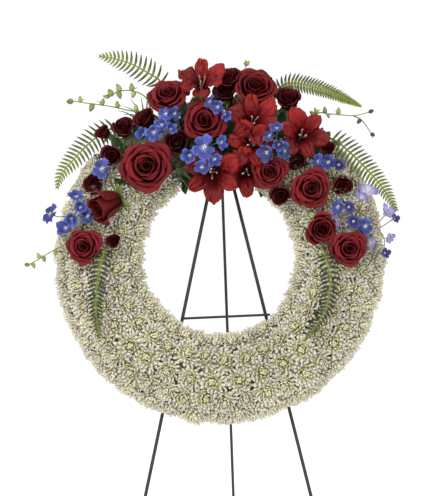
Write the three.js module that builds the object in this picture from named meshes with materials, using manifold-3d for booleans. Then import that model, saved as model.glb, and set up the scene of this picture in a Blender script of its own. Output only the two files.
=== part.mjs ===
// A standing funeral wreath: a foam ring in its tray, covered in white chrysanthemums, with a crescent
// of roses, gladioli, delphiniums and ferns over its top, carried by a folding wire easel.
//
// The wreath is laid out on its back: x runs to the right, y up the ring and z out of its front, with
// the ring's centre at the origin and the middle of the easel's front legs at z = 0. The last lines
// stand it up on the floor, leaning back. Lengths are millimetres and angles degrees.
import * as THREE from "three";
import { mergeVertices } from "three/addons/utils/BufferGeometryUtils.js";
import Module from "manifold-3d";

const wasm = await Module();
wasm.setup();

// The stand
const LEAN = 12;
const CENTRE_TO_FLOOR = 950; // down the leaning front legs
const GAP = 0.3; // between pieces that touch
const LEG_RADIUS = 3.5;
const LEG_APEX = 250; // where the front legs' lines would meet, above the ring's centre
const LEG_SPREAD = 0.2275; // how far each goes sideways for each millimetre down
const LEG_TOP = 232;
const CROSSBAR_RADIUS = 2.5;
const CROSSBAR_ENDS = [[-81, -118], [92, -114]];
const HINGE_HEIGHT = 205;
const HINGE_BAR_RADIUS = 2.5;
const HINGE_BAR_LENGTH = 60;
const HINGE_CLEARANCE = 0.4;
const REAR_LEG_RADIUS = 3;
const REAR_LEG_ANGLE = 24; // from the front legs, when open
const STOP_WIDTH = 16;
const STOP_HEIGHT = 25; // above the hinge
const STOP_THICKNESS = 3;
const PRONG_HEIGHT = 237;
const PRONG_RADIUS = 2.5;
const PRONG_REACH = 48;
const BRACKET = { width: 18, bottom: 233.1, top: 243, back: -5, front: 3.5 };

// The ring
const RING_RADIUS = 237; // of its centre line
const SECTORS = 11;
const SECTOR_ANGLE = 360 / SECTORS;
const FACETS_A_SECTOR = 2;
const TRAY_BACK = LEG_RADIUS + GAP;
const TRAY_WALL = 3;
const TRAY_DEPTH = 18;
const FOAM_HALF_WIDTH = 45;
const FOAM_HEIGHT = 50;
const PEG_RADIUS = 2;
const PEG_OFFSET = 9; // each side of a leg
const PEG_END = -9;
const TIE_WIDTH = 2;

// The cover of chrysanthemums and leaves
const COVER_GAP = 0.5;
const BED_SECTORS = [4, 5, 6]; // at the top, under the flowers
const MUM_SECTORS = [0, 1, 2, 3, 7, 8, 9, 10];
const SECTION_CENTRE = 30; // height of the centre of the ring's rounded section
const SECTION_RADIUS = { side: 66, front: 48 };
const MUM_ROWS = [[0, 3], [62, 3], [118, 2], [180, 2]]; // angle round the section, heads a sector
const MUM_RADIUS = 31;
const MUM_PETALS = 4; // in each whorl, far broader than life
const BED_LEAVES = 6; // in each sector
const LEAF_LENGTH = 50;
const LEAF_SUNK = 10;
const ROOT_DEPTH = 32; // height at which every stem ends in the foam
const PIN_RADIUS = 2; // of the short pin that holds a sector's chrysanthemums in the foam
const PIN_TOP = 64;
const PIN_OUT = 14; // outside the ring's centre line

// The arrangement
const ARRANGEMENT_TURN = 1.2; // clockwise, against the easel's upright
const SIGHT = { level: 45, distance: 2200, rise: 8 }; // how the flowers' places were sighted
const PETAL_THICKNESS = 1.2;
const FROND_THICKNESS = 0.9;
const STEM_RADIUS = { large: 3.5, trunk: 3, branch: 2.5, delphinium: 1.6, floret: 1.2, frond: 1.5 };

const UP = new THREE.Vector3(0, 0, 1);
const rad = THREE.MathUtils.degToRad;
const vec = (x, y, z) => new THREE.Vector3(x, y, z);

// An even spread of numbers from 0 to 1, the same each time.
function jitter(seed) {
  const wave = Math.sin(seed * 12.9898) * 43758.5453;
  return wave - Math.floor(wave);
}

// A closed geometry as a solid that can be joined and cut, turned the right way out.
function solid(geometry) {
  const bare = geometry.clone();
  bare.deleteAttribute("normal");
  bare.deleteAttribute("uv");
  const merged = mergeVertices(bare, 1e-4);
  const triVerts = new Uint32Array(merged.index.array);
  const vertProperties = merged.attributes.position.array;
  const made = new wasm.Manifold(new wasm.Mesh({ numProp: 3, vertProperties, triVerts }));
  if (made.volume() > 0) return made;
  return new wasm.Manifold(new wasm.Mesh({ numProp: 3, vertProperties, triVerts: triVerts.reverse() }));
}

function geometryOf(shape) {
  const mesh = shape.getMesh();
  const positions = new Float32Array(mesh.numVert * 3);
  for (let i = 0; i < mesh.numVert; i++) {
    positions.set(mesh.vertProperties.subarray(i * mesh.numProp, i * mesh.numProp + 3), i * 3);
  }
  return new THREE.BufferGeometry()
    .setAttribute("position", new THREE.BufferAttribute(positions, 3))
    .setIndex(new THREE.BufferAttribute(mesh.triVerts, 1));
}

const joined = (solids) => solids.reduce((whole, next) => whole.add(next));

function largest(shape) {
  return shape.decompose().reduce((most, body) => (body.volume() > most.volume() ? body : most));
}

function boxesMeet(a, b) {
  const first = a.boundingBox();
  const second = b.boundingBox();
  return [0, 1, 2].every((i) => first.min[i] < second.max[i] && second.min[i] < first.max[i]);
}

// A solid cut clear of others, without the scraps.
function trimmed(shape, others) {
  const near = others.filter((other) => boxesMeet(shape, other));
  if (!near.length) return shape;
  return largest(near.reduce((left, other) => left.subtract(other), shape));
}

// A straight round bar between two points.
function rod(from, to, radius, sides = 8) {
  const along = to.clone().sub(from);
  const turn = new THREE.Quaternion().setFromUnitVectors(UP, along.clone().normalize());
  const geometry = new THREE.CylinderGeometry(radius, radius, along.length(), sides)
    .rotateX(Math.PI / 2)
    .applyQuaternion(turn)
    .translate(...from.clone().add(to).multiplyScalar(0.5));
  return solid(geometry);
}

function box(low, high) {
  const size = high.clone().sub(low);
  const middle = low.clone().add(high).multiplyScalar(0.5);
  return solid(new THREE.BoxGeometry(...size).translate(...middle));
}

// A thin bar along a curve.
function wire(curve, radius, steps, sides = 3) {
  const section = new THREE.Shape();
  for (let i = 0; i < sides; i++) {
    const angle = (i / sides) * 2 * Math.PI;
    section[i ? "lineTo" : "moveTo"](radius * Math.cos(angle), radius * Math.sin(angle));
  }
  return solid(new THREE.ExtrudeGeometry(section, { steps, extrudePath: curve, bevelEnabled: false }));
}

// A solid turned round the z axis from an outline of [radius, height] points.
function turned(outline, sides) {
  const points = [...outline, outline[0]].map(([r, z]) => new THREE.Vector2(r, z));
  return new THREE.LatheGeometry(points, sides).rotateX(Math.PI / 2);
}

// A ball with its poles on z, each corner moved by shape(column, tier) to [reach, height].
function star(sides, tiers, shape) {
  const geometry = new THREE.SphereGeometry(1, sides, tiers).rotateX(Math.PI / 2);
  const places = geometry.attributes.position;
  for (let i = 0; i < places.count; i++) {
    const corner = vec(places.getX(i), places.getY(i), places.getZ(i));
    const tier = Math.round((Math.acos(THREE.MathUtils.clamp(corner.z, -1, 1)) * tiers) / Math.PI);
    const column = Math.round((Math.atan2(corner.y, corner.x) / (2 * Math.PI)) * sides + sides) % sides;
    const [reach, height] = shape(column, tier);
    const pole = tier === 0 || tier === tiers;
    const angle = (column / sides) * 2 * Math.PI;
    places.setXYZ(i, pole ? 0 : reach * Math.cos(angle), pole ? 0 : reach * Math.sin(angle), height);
  }
  return geometry;
}

// A thin petal or leaf: a grid of corners, placed by place(x, y, side) with x, y and side from 0 to 1.
// Its two faces are split into triangles alike, so they never cross.
function blade(across, along, place) {
  const grid = new THREE.PlaneGeometry(1, 1, across, along);
  const flat = grid.attributes.position;
  const count = flat.count;
  const corners = [];
  for (const side of [1, 0]) {
    for (let i = 0; i < count; i++) corners.push(...place(flat.getX(i) + 0.5, flat.getY(i) + 0.5, side));
  }
  const front = Array.from(grid.index.array);
  const back = front.map((corner) => corner + count).reverse();
  const rim = [];
  for (let i = 0; i < along; i++) rim.push(i * (across + 1));
  for (let i = 0; i < across; i++) rim.push(along * (across + 1) + i);
  for (let i = along; i > 0; i--) rim.push(i * (across + 1) + across);
  for (let i = across; i > 0; i--) rim.push(i);
  const edge = rim.flatMap((a, i) => {
    const b = rim[(i + 1) % rim.length];
    return [b, a, a + count, b, a + count, b + count];
  });
  return new THREE.BufferGeometry()
    .setAttribute("position", new THREE.Float32BufferAttribute(corners, 3))
    .setIndex([...front, ...back, ...edge]);
}

// A whorl of petals grown together at the foot: a thin cup round the z axis, notched between its petals.
// The outline's three [radius, height] points are its foot, waist and lip, as shares of its size.
function cup({ petals, corners, outline, notch, size, turn = 0 }) {
  const columns = petals * corners;
  const [foot, waist, lip] = outline.map(([r, z]) => new THREE.Vector2(r * size, z * size));
  const cut = waist.clone().lerp(lip, notch);
  const slope = lip.clone().sub(waist).normalize();
  const skin = new THREE.Vector2(slope.y, -slope.x).multiplyScalar(PETAL_THICKNESS);
  const corner = (column, tier) => {
    const edge = column % corners === 0 ? cut : lip;
    const rows = [
      new THREE.Vector2(0, foot.y + PETAL_THICKNESS),
      foot.clone().setY(foot.y + PETAL_THICKNESS),
      waist,
      edge,
      edge.clone().add(skin),
      waist.clone().add(skin),
      foot.clone().add(skin).setY(foot.y),
      new THREE.Vector2(0, foot.y),
    ];
    return rows[tier].toArray();
  };
  return star(columns, 7, corner).rotateZ(rad(turn));
}

// Where a flower is, from where it is seen: it is moved along the line of sight to its own height.
function seen(x, y, z) {
  const turn = rad(ARRANGEMENT_TURN);
  const nearer = z - SIGHT.level;
  const shrink = 1 - nearer / SIGHT.distance;
  const across = (x * Math.cos(turn) + y * Math.sin(turn)) * shrink;
  const up = (y * Math.cos(turn) - x * Math.sin(turn)) * shrink - nearer * Math.tan(rad(SIGHT.rise));
  return vec(across, up, z);
}

// A bloom's own frame has its stem up z and its foot at the origin.
function standing(root, rim, depth) {
  const axis = rim.clone().sub(root).normalize();
  const foot = rim.clone().addScaledVector(axis, -depth);
  const turn = new THREE.Quaternion().setFromUnitVectors(UP, axis);
  return { foot, frame: new THREE.Matrix4().compose(foot, turn, vec(1, 1, 1)) };
}

// A three-sided stem, and the room that it takes in whatever it passes through.
function stem(root, foot, radius) {
  return { body: rod(root, foot, radius, 3), room: rod(root, foot, radius + 2 * GAP, 3) };
}

const scaled = (outline, size) => outline.map(([reach, height]) => [reach * size, height * size]);

// A rose's corners from its heart down to its foot, [reach, height]: on a petal's middle, and between petals.
const ROSE_TIERS = [
  { middle: [0, 0.66], between: [0, 0.66] },
  { middle: [0.2, 0.66], between: [0.28, 0.8] },
  { middle: [0.4, 0.5], between: [0.34, 0.44] },
  { middle: [0.68, 0.74], between: [0.52, 0.56] },
  { middle: [0.62, 0.36], between: [0.74, 0.34] },
  { middle: [0.76, 0.4], between: [1, 0.52] },
  { middle: [0.74, 0.32], between: [0.98, 0.44] },
  { middle: [0.4, 0.02], between: [0.46, 0.02] },
  { middle: [0, -0.06], between: [0, -0.06] },
];
const ROSE_ROOM = [[0, -0.1], [0.5, -0.1], [1.1, 0.36], [1.1, 0.58], [0.76, 0.84], [0, 0.84]];

// A flower head in one piece, its tiers of corners given on a petal's middle and between petals.
function whorls(tiers, petals, size) {
  const corners = tiers.map(({ middle, between }) => scaled([middle, between], size));
  return star(2 * petals, tiers.length - 1, (column, tier) => corners[tier][column % 2]);
}

// A large rose: three whorls of five petals, set between each other, on one stem.
function rose({ at, diameter, root, turn = 0 }) {
  const size = diameter / 2;
  const rootPoint = seen(...root, ROOT_DEPTH);
  const { foot, frame } = standing(rootPoint, seen(...at), 0.5 * size);
  const head = whorls(ROSE_TIERS, 5, size);
  const stalk = stem(rootPoint, foot, STEM_RADIUS.large);
  const room = turned(scaled(ROSE_ROOM, size), 10);
  const shape = solid(head.rotateZ(rad(turn)).applyMatrix4(frame)).add(stalk.body);
  return { shape, rooms: [solid(room.applyMatrix4(frame)), stalk.room] };
}

const SPRAY_ROSE_ROOM = [[0, -0.55], [0.4, -0.55], [1.1, -0.12], [1.1, 0.3], [0.72, 0.72], [0, 0.72]];

// The corners of a small rose: five outer petals, and five inner petals round a dimple.
const SPRAY_ROSE_TIERS = [
  { middle: [0, 0.36], between: [0, 0.36] },
  { middle: [0.44, 0.5], between: [0.62, 0.66] },
  { middle: [1, 0.16], between: [0.74, 0.12] },
  { middle: [0, -0.5], between: [0, -0.5] },
];

// A spray of small roses on one branching stem.
function roseSpray({ root, fork, heads }) {
  const rootPoint = seen(...root, ROOT_DEPTH);
  const forkPoint = fork ? seen(...fork) : rootPoint;
  const solids = [];
  const rooms = [];
  if (fork) {
    const trunk = stem(rootPoint, forkPoint, STEM_RADIUS.trunk);
    solids.push(trunk.body);
    rooms.push(trunk.room);
  }
  for (const [x, y, z, diameter] of heads) {
    const size = diameter / 2;
    const { foot, frame } = standing(forkPoint, seen(x, y, z), 0.2 * size);
    const head = whorls(SPRAY_ROSE_TIERS, 5, size);
    const branch = stem(forkPoint, foot, STEM_RADIUS.branch);
    solids.push(solid(head.applyMatrix4(frame)), branch.body);
    rooms.push(solid(turned(scaled(SPRAY_ROSE_ROOM, size), 8).applyMatrix4(frame)), branch.room);
  }
  return { shape: joined(solids), rooms };
}

const GLADIOLUS_OUTER = { petals: 6, corners: 2, outline: [[0.13, 0], [0.36, 0.6], [1, 0.9]], notch: 0.2 };
const GLADIOLUS_HEART = [[0, 0.8], [0.1, 0.7], [0.08, 0.02], [0, 0]];
const GLADIOLUS_ROOM = [[0, -0.06], [0.3, -0.06], [0.5, 0.5], [1.09, 0.78], [1.09, 0.98], [0, 1]];

// A gladiolus flower: a trumpet of six pointed petals round its stamens.
function gladiolus({ at, diameter, root, turn = 0 }) {
  const size = diameter / 2;
  const rootPoint = seen(...root, ROOT_DEPTH);
  const { foot, frame } = standing(rootPoint, seen(...at), 0.9 * size);
  const heart = scaled(GLADIOLUS_HEART, size);
  const shapes = [
    cup({ ...GLADIOLUS_OUTER, size, turn }),
    star(3, 3, (column, tier) => heart[tier]),
  ];
  const stalk = stem(rootPoint, foot, STEM_RADIUS.large);
  const body = joined(shapes.map((shape) => solid(shape.applyMatrix4(frame))));
  const room = solid(turned(scaled(GLADIOLUS_ROOM, size), 10).applyMatrix4(frame));
  return { shape: body.add(stalk.body), rooms: [room, stalk.room] };
}

// The corners of a delphinium floret: five petals in one flat star.
const FLORET_TIERS = [
  { middle: [0, 0.1], between: [0, 0.1] },
  { middle: [1, 0.14], between: [0.5, 0.02] },
  { middle: [0, -0.4], between: [0, -0.4] },
];

// A delphinium: florets on thin stalks off a branching stem, with buds along its ends.
function delphinium({ root, stems, florets, buds = [] }) {
  const rootPoint = seen(...root, ROOT_DEPTH);
  const solids = [];
  const rooms = [];
  const nodes = [];
  stems.forEach((places, i) => {
    const points = places.map((place) => seen(...place));
    if (i === 0) points.unshift(rootPoint);
    const curve = new THREE.CatmullRomCurve3(points);
    const steps = points.length;
    solids.push(wire(curve, STEM_RADIUS.delphinium, steps));
    rooms.push(wire(curve, STEM_RADIUS.delphinium + 2 * GAP, steps));
    for (let k = 4; k <= 24; k++) nodes.push(curve.getPointAt(k / 24));
  });
  const nearest = (point) =>
    nodes.reduce((best, node) => (node.distanceTo(point) < best.distanceTo(point) ? node : best));
  florets.forEach(([x, y, z, diameter = 28], i) => {
    const size = diameter / 2;
    const middle = seen(x, y, z);
    const from = nearest(middle);
    const tilt = vec(jitter(i) - 0.5, jitter(i + 7) - 0.5, 1.3).normalize();
    const turn = new THREE.Quaternion().setFromUnitVectors(UP, tilt);
    const frame = new THREE.Matrix4().compose(middle, turn, vec(1, 1, 1));
    const floret = whorls(FLORET_TIERS, 5, size).rotateZ(2 * jitter(i + 3));
    solids.push(solid(floret.applyMatrix4(frame)));
    solids.push(rod(from, middle.clone().addScaledVector(tilt, -0.2 * size), STEM_RADIUS.floret, 3));
    const room = new THREE.CylinderGeometry(1.08 * size, 0.8 * size, 0.5 * size, 10).rotateX(Math.PI / 2);
    rooms.push(solid(room.translate(0, 0, 0.02 * size).applyMatrix4(frame)));
  });
  for (const [x, y, z, length = 13] of buds) {
    const seenAt = seen(x, y, z);
    const from = nearest(seenAt);
    const along = seenAt.sub(from).setZ(3).normalize();
    const middle = from.clone().addScaledVector(along, 0.4 * length);
    const turn = new THREE.Quaternion().setFromUnitVectors(UP, along);
    const bud = new THREE.OctahedronGeometry(1).scale(0.34 * length, 0.34 * length, 0.5 * length);
    solids.push(solid(bud.applyMatrix4(new THREE.Matrix4().compose(middle, turn, vec(1, 1, 1)))));
  }
  return { shape: joined(solids), rooms };
}

// How long a fern's leaflets are, from 0 at its foot to 1 at its tip, as a share of the longest.
const leafletShare = (t) => Math.min(1, 0.72 + 1.6 * t) * (1 - 0.97 * t ** 2.2);

// A fern frond: leaflets cut to the rib along a curve, on a bare stalk.
function fern({ points, leaflets, length, bare = 0.2 }) {
  const curve = new THREE.CatmullRomCurve3(points.map((point) => seen(...point)));
  const rows = 2 * leaflets;
  const frond = blade(2, rows, (x, y, side) => {
    const place = bare + (1 - bare) * y;
    const along = curve.getTangentAt(place);
    const face = UP.clone().addScaledVector(along, -UP.dot(along)).normalize();
    const across = along.clone().cross(face);
    const tip = Math.round(y * rows) % 2 === 1;
    const reach = tip ? length * leafletShare(y) : 1.6;
    const sideways = (2 * x - 1) * reach;
    return curve.getPointAt(place)
      .addScaledVector(across, sideways)
      .addScaledVector(along, tip ? 0.3 * Math.abs(sideways) : 0)
      .addScaledVector(face, (side - 0.5) * FROND_THICKNESS - 0.12 * Math.abs(sideways));
  });
  const stalkEnd = curve.getPointAt(bare + 0.06);
  const stalkCurve = new THREE.CatmullRomCurve3([0, 0.33, 0.66, 1].map((t) => curve.getPointAt(t * bare)));
  stalkCurve.points.push(stalkEnd);
  const shape = solid(frond).add(wire(stalkCurve, STEM_RADIUS.frond, 4));
  return { shape, rooms: [wire(stalkCurve, STEM_RADIUS.frond + 2 * GAP, 4)] };
}

// The flowers, as they are seen: [x, y, height] in the ring's plane, and where each stem goes in.
const LARGE_ROSES = [
  { at: [-104, 326, 100], diameter: 80, root: [-84, 254], turn: 10 },
  { at: [-30, 276, 122], diameter: 84, root: [-28, 250] },
  { at: [68, 344, 100], diameter: 88, root: [55, 262], turn: 30 },
  { at: [-146, 188, 120], diameter: 104, root: [-141, 181], turn: 50 },
  { at: [98, 178, 118], diameter: 74, root: [100, 190], turn: 20 },
  { at: [180, 146, 118], diameter: 80, root: [172, 150], turn: 65 },
  { at: [-230, 108, 118], diameter: 74, root: [-214, 118] },
  { at: [-272, 26, 114], diameter: 74, root: [-240, 30], turn: 40 },
  { at: [200, 62, 112], diameter: 58, root: [204, 66] },
  { at: [254, 22, 118], diameter: 76, root: [240, 25], turn: 25 },
];
const GLADIOLI = [
  { at: [-44, 362, 92], diameter: 92, root: [-34, 266], turn: 30 },
  { at: [-16, 162, 112], diameter: 100, root: [-14, 208], turn: 90 },
  { at: [60, 284, 118], diameter: 80, root: [42, 240], turn: 10 },
  { at: [62, 232, 122], diameter: 76, root: [64, 214], turn: 80 },
  { at: [160, 258, 104], diameter: 90, root: [140, 226], turn: 45 },
  { at: [40, 186, 100], diameter: 70, root: [48, 198], turn: 60 },
];
const DELPHINIUMS = [
  {
    name: "delphinium_upper_left",
    root: [-106, 246],
    stems: [
      [[-112, 262, 80], [-113, 270, 110]],
      [[-111, 258, 76], [-140, 292, 88], [-179, 297, 92], [-224, 307, 92], [-273, 314, 92], [-300, 318, 90]],
      [[-140, 292, 88], [-152, 324, 88], [-180, 338, 88], [-207, 336, 88], [-226, 325, 88]],
    ],
    florets: [
      [-112, 292, 122, 32], [-134, 258, 120, 36], [-102, 262, 124, 28], [-92, 294, 116, 26], [-118, 272, 126],
    ],
    buds: [
      [-304, 318, 90, 16], [-276, 320, 92], [-264, 300, 92, 15], [-242, 316, 94], [-226, 328, 88, 16],
      [-209, 341, 88, 16], [-180, 342, 88, 14], [-178, 322, 88], [-172, 309, 92],
    ],
  },
  {
    name: "delphinium_middle",
    root: [-26, 222],
    stems: [[[-28, 222, 80], [-28, 226, 118], [-28, 230, 144]]],
    florets: [
      [-32, 228, 154, 46], [0, 238, 150, 32], [-60, 212, 148, 34], [-36, 190, 150, 32], [-12, 206, 154, 32],
    ],
  },
  {
    name: "delphinium_top",
    root: [8, 258],
    stems: [[[8, 296, 76], [7, 316, 120], [2, 314, 138]]],
    florets: [[-20, 320, 144, 26], [-4, 310, 146, 28], [8, 296, 146, 26]],
  },
  {
    name: "delphinium_centre_right",
    root: [108, 214],
    stems: [[[110, 222, 80], [111, 232, 116], [111, 236, 136]]],
    florets: [
      [100, 250, 146, 28], [96, 218, 148, 38], [118, 234, 148, 28], [130, 220, 146, 30], [114, 264, 142, 28],
    ],
  },
  {
    name: "delphinium_buds_right",
    root: [170, 216],
    stems: [
      [[196, 282, 64], [234, 288, 74], [270, 285, 80], [303, 292, 82]],
      [[270, 285, 80], [288, 272, 82], [308, 246, 84]],
    ],
    florets: [],
    buds: [
      [178, 300, 68, 15], [194, 303, 68, 14], [212, 298, 72, 15], [236, 300, 76, 16], [216, 278, 70, 12],
      [305, 293, 82, 13], [280, 270, 82, 13], [309, 245, 84, 13],
    ],
  },
  {
    name: "delphinium_right",
    root: [188, 190],
    stems: [[[200, 194, 80], [212, 194, 100]]],
    florets: [[196, 196, 116, 28], [216, 194, 118, 32], [234, 188, 112, 30]],
  },
  {
    name: "delphinium_left",
    root: [-214, 164],
    stems: [[[-226, 174, 80], [-236, 180, 100]]],
    florets: [[-238, 182, 112, 38]],
  },
  {
    name: "delphinium_lower_left",
    root: [-250, 76],
    stems: [
      [[-272, 84, 78], [-300, 86, 92], [-326, 84, 92]],
      [[-272, 84, 78], [-290, 44, 90], [-340, 14, 92], [-384, -12, 90]],
    ],
    florets: [
      [-340, 90, 100, 38], [-290, 124, 104, 32], [-282, 104, 110, 30], [-266, 86, 116, 30],
      [-308, 62, 106, 38], [-300, 82, 108, 32],
    ],
    buds: [
      [-386, -12, 90, 13], [-366, 10, 91], [-351, -8, 91], [-369, -26, 91], [-330, 6, 91], [-310, 34, 91],
    ],
  },
  {
    name: "delphinium_lower_right",
    root: [238, 92],
    stems: [[[262, 98, 80], [296, 76, 94], [322, 40, 92], [320, 10, 90]]],
    florets: [
      [290, 134, 104, 36], [276, 118, 108, 28], [254, 104, 116, 28], [234, 104, 118, 28], [232, 80, 118, 26],
      [264, 76, 116, 32], [288, 66, 112, 32], [326, 86, 100, 36], [342, 78, 98, 24], [298, 30, 104, 28],
      [330, 40, 98, 24], [322, 10, 92, 26],
    ],
  },
];
const ROSE_SPRAYS = [
  {
    root: [-184, 196],
    fork: [-196, 212, 58],
    heads: [[-196, 260, 90, 44], [-236, 252, 82, 30], [-216, 208, 92, 42]],
  },
  { root: [-88, 216], fork: [-94, 226, 62], heads: [[-88, 234, 100, 48], [-150, 280, 100, 44]] },
  { root: [-226, 140], heads: [[-252, 152, 92, 40]] },
  { root: [24, 260], heads: [[16, 362, 90, 52]] },
  { root: [118, 242], heads: [[134, 322, 92, 48]] },
  {
    root: [198, 172],
    fork: [200, 178, 60],
    heads: [[156, 194, 98, 40], [238, 148, 94, 40], [212, 216, 88, 30]],
  },
  { root: [132, 152], heads: [[120, 128, 98, 40]] },
  { root: [-210, 46], heads: [[-214, 38, 112, 28]] },
];
const FERNS = [
  {
    points: [
      [-122, 240, 34], [-128, 300, 62], [-146, 366, 80], [-179, 387, 86], [-212, 398, 84], [-246, 404, 80],
    ],
    leaflets: 10, length: 26, bare: 0.42,
  },
  {
    points: [
      [-170, 212, 34], [-192, 262, 46], [-222, 262, 56], [-253, 244, 68],
      [-284, 214, 80], [-318, 174, 84], [-328, 144, 82],
    ],
    leaflets: 11, length: 27, bare: 0.3,
  },
  {
    points: [[92, 250, 34], [104, 320, 62], [132, 350, 76], [188, 344, 84], [240, 326, 84], [276, 306, 80]],
    leaflets: 10, length: 24, bare: 0.38,
  },
  {
    points: [
      [186, 198, 34], [204, 240, 50], [226, 242, 64], [258, 216, 76],
      [290, 184, 82], [324, 148, 84], [354, 98, 82],
    ],
    leaflets: 11, length: 27, bare: 0.3,
  },
  {
    points: [
      [-214, 22, 34], [-218, 14, 90], [-226, 4, 126], [-242, -24, 128],
      [-251, -60, 120], [-252, -100, 114], [-245, -156, 106],
    ],
    leaflets: 10, length: 22, bare: 0.36,
  },
  {
    points: [
      [200, 16, 34], [200, 10, 90], [206, 0, 122], [217, -24, 126],
      [218, -60, 122], [208, -104, 116], [164, -162, 108],
    ],
    leaflets: 10, length: 22, bare: 0.36,
  },
];

// Every bloom: the large ones come first, and each is cut clear of those before it.
function arrangement() {
  const blooms = [
    ...LARGE_ROSES.map((spec, i) => ({ name: `large_rose_${i + 1}`, colour: 0x8f1020, ...rose(spec) })),
    ...GLADIOLI.map((spec, i) => ({ name: `gladiolus_${i + 1}`, colour: 0xb01c1c, ...gladiolus(spec) })),
    ...DELPHINIUMS.map((spec) => ({ name: spec.name, colour: 0x4a68c4, ...delphinium(spec) })),
    ...ROSE_SPRAYS.map((spec, i) => ({ name: `spray_roses_${i + 1}`, colour: 0x5c0d18, ...roseSpray(spec) })),
    ...FERNS.map((spec, i) => ({ name: `fern_frond_${i + 1}`, colour: 0x6d8530, ...fern(spec) })),
  ];
  const taken = [];
  for (const bloom of blooms) {
    bloom.shape = trimmed(bloom.shape, taken);
    taken.push(...bloom.rooms);
  }
  return blooms;
}

const COVER_OUTLINE = [
  [60, 8], [63, 42], [45, 74], [-45, 74], [-63, 42], [-60, 8],
  [-48.8, 8], [-48.8, 57.6], [48.8, 57.6], [48.8, 8],
];
const ringOutline = (outline) => outline.map(([across, height]) => [RING_RADIUS + across, height]);
const ring = (outline) => solid(turned(ringOutline(outline), SECTORS * FACETS_A_SECTOR));
const ringDirection = (angle) => vec(Math.sin(rad(angle)), -Math.cos(rad(angle)), 0);

// The slice of space that one sector of the cover fills, less half a gap on each side.
function slice(sector) {
  const reach = 2 * RING_RADIUS;
  const start = ringDirection(sector * SECTOR_ANGLE);
  const end = ringDirection((sector + 1) * SECTOR_ANGLE);
  const middle = ringDirection((sector + 0.5) * SECTOR_ANGLE);
  const inset = middle.multiplyScalar(COVER_GAP / 2 / Math.sin(rad(SECTOR_ANGLE / 2)));
  const shape = new THREE.Shape();
  shape.moveTo(inset.x, inset.y);
  shape.lineTo(reach * start.x + inset.x, reach * start.y + inset.y);
  shape.lineTo(reach * end.x + inset.x, reach * end.y + inset.y);
  return solid(new THREE.ExtrudeGeometry(shape, { depth: 200, bevelEnabled: false }));
}

// A place on the rounded section of the ring: its point, and the direction that faces out of it.
function onSection(ringAngle, sectionAngle) {
  const out = ringDirection(ringAngle);
  const side = Math.cos(rad(sectionAngle));
  const front = Math.sin(rad(sectionAngle));
  const point = out.clone().multiplyScalar(RING_RADIUS + SECTION_RADIUS.side * side)
    .setZ(SECTION_CENTRE + SECTION_RADIUS.front * front);
  return { point, facing: out.multiplyScalar(side).setZ(front * 1.1).normalize() };
}

// The corners of a chrysanthemum head: a whorl of petals that spread, and one that stands up between them.
const MUM_TIERS = [
  { middle: [0, 0.55], between: [0, 0.55] },
  { middle: [0.74, 0.72], between: [0.34, 0.5] },
  { middle: [0.55, 0.12], between: [1, 0.22] },
  { middle: [0, -0.35], between: [0, -0.35] },
];

// One sector's worth of chrysanthemum heads: ring angle, section angle and a number for each.
function mumPlaces(sector) {
  return MUM_ROWS.flatMap(([sectionAngle, heads], row) =>
    Array.from({ length: heads }, (_, i) => {
      const number = sector * 20 + row * 4 + i;
      const along = (i + 0.5) / heads + 0.1 * (jitter(number) - 0.5);
      return [(sector + along) * SECTOR_ANGLE, sectionAngle + 8 * (jitter(number + 50) - 0.5), number];
    }),
  );
}

function mumHead([ringAngle, sectionAngle, number]) {
  const size = MUM_RADIUS * (0.94 + 0.12 * jitter(number + 90));
  const { point, facing } = onSection(ringAngle, sectionAngle);
  const turn = new THREE.Quaternion().setFromUnitVectors(UP, facing);
  const head = whorls(MUM_TIERS, MUM_PETALS, size).rotateZ(jitter(number + 5));
  return solid(head.applyMatrix4(new THREE.Matrix4().compose(point, turn, vec(1, 1, 1))));
}

// A short pin that holds a sector of the cover in the foam.
function pin(sector, radius) {
  const middle = ringDirection((sector + 0.5) * SECTOR_ANGLE).multiplyScalar(RING_RADIUS + PIN_OUT);
  return rod(middle.clone().setZ(ROOT_DEPTH), middle.clone().setZ(PIN_TOP), radius, 4);
}

// A leaf that stands out of the bed, with its edges folded up a little.
function bedLeaf(sector, i) {
  const outer = i % 2 === 0;
  const sectionAngle = outer ? 4 + 50 * jitter(i + sector) : 150 + 34 * jitter(i + sector);
  const { point, facing } = onSection((sector + (i + 0.5) / BED_LEAVES) * SECTOR_ANGLE, sectionAngle);
  const away = facing.clone().applyAxisAngle(UP, jitter(i + 11) - 0.5);
  const across = away.clone().cross(UP).normalize();
  const face = across.clone().cross(away);
  const foot = point.clone().addScaledVector(facing, -LEAF_SUNK);
  return blade(1, 2, (x, y, side) => {
    const width = LEAF_LENGTH * [0.1, 0.42, 0.06][Math.round(2 * y)];
    return foot.clone()
      .addScaledVector(away, LEAF_LENGTH * y)
      .addScaledVector(across, (x - 0.5) * width)
      .addScaledVector(face, (side - 0.5) * PETAL_THICKNESS - 10 * y * y);
  });
}

function cover(rooms) {
  const crust = ring(COVER_OUTLINE);
  return Array.from({ length: SECTORS }, (_, sector) => {
    const bed = BED_SECTORS.includes(sector);
    const grown = bed
      ? Array.from({ length: BED_LEAVES }, (_, i) => solid(bedLeaf(sector, i)))
      : mumPlaces(sector).map(mumHead);
    const whole = crust.intersect(slice(sector)).add(joined(grown).intersect(slice(sector)));
    const clear = trimmed(whole, rooms);
    return {
      name: `${bed ? "leaf_bed" : "chrysanthemums"}_${sector + 1}`,
      colour: bed ? 0x3f5626 : 0xe9e6d4,
      shape: bed ? clear : clear.add(pin(sector, PIN_RADIUS)),
    };
  });
}

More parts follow.
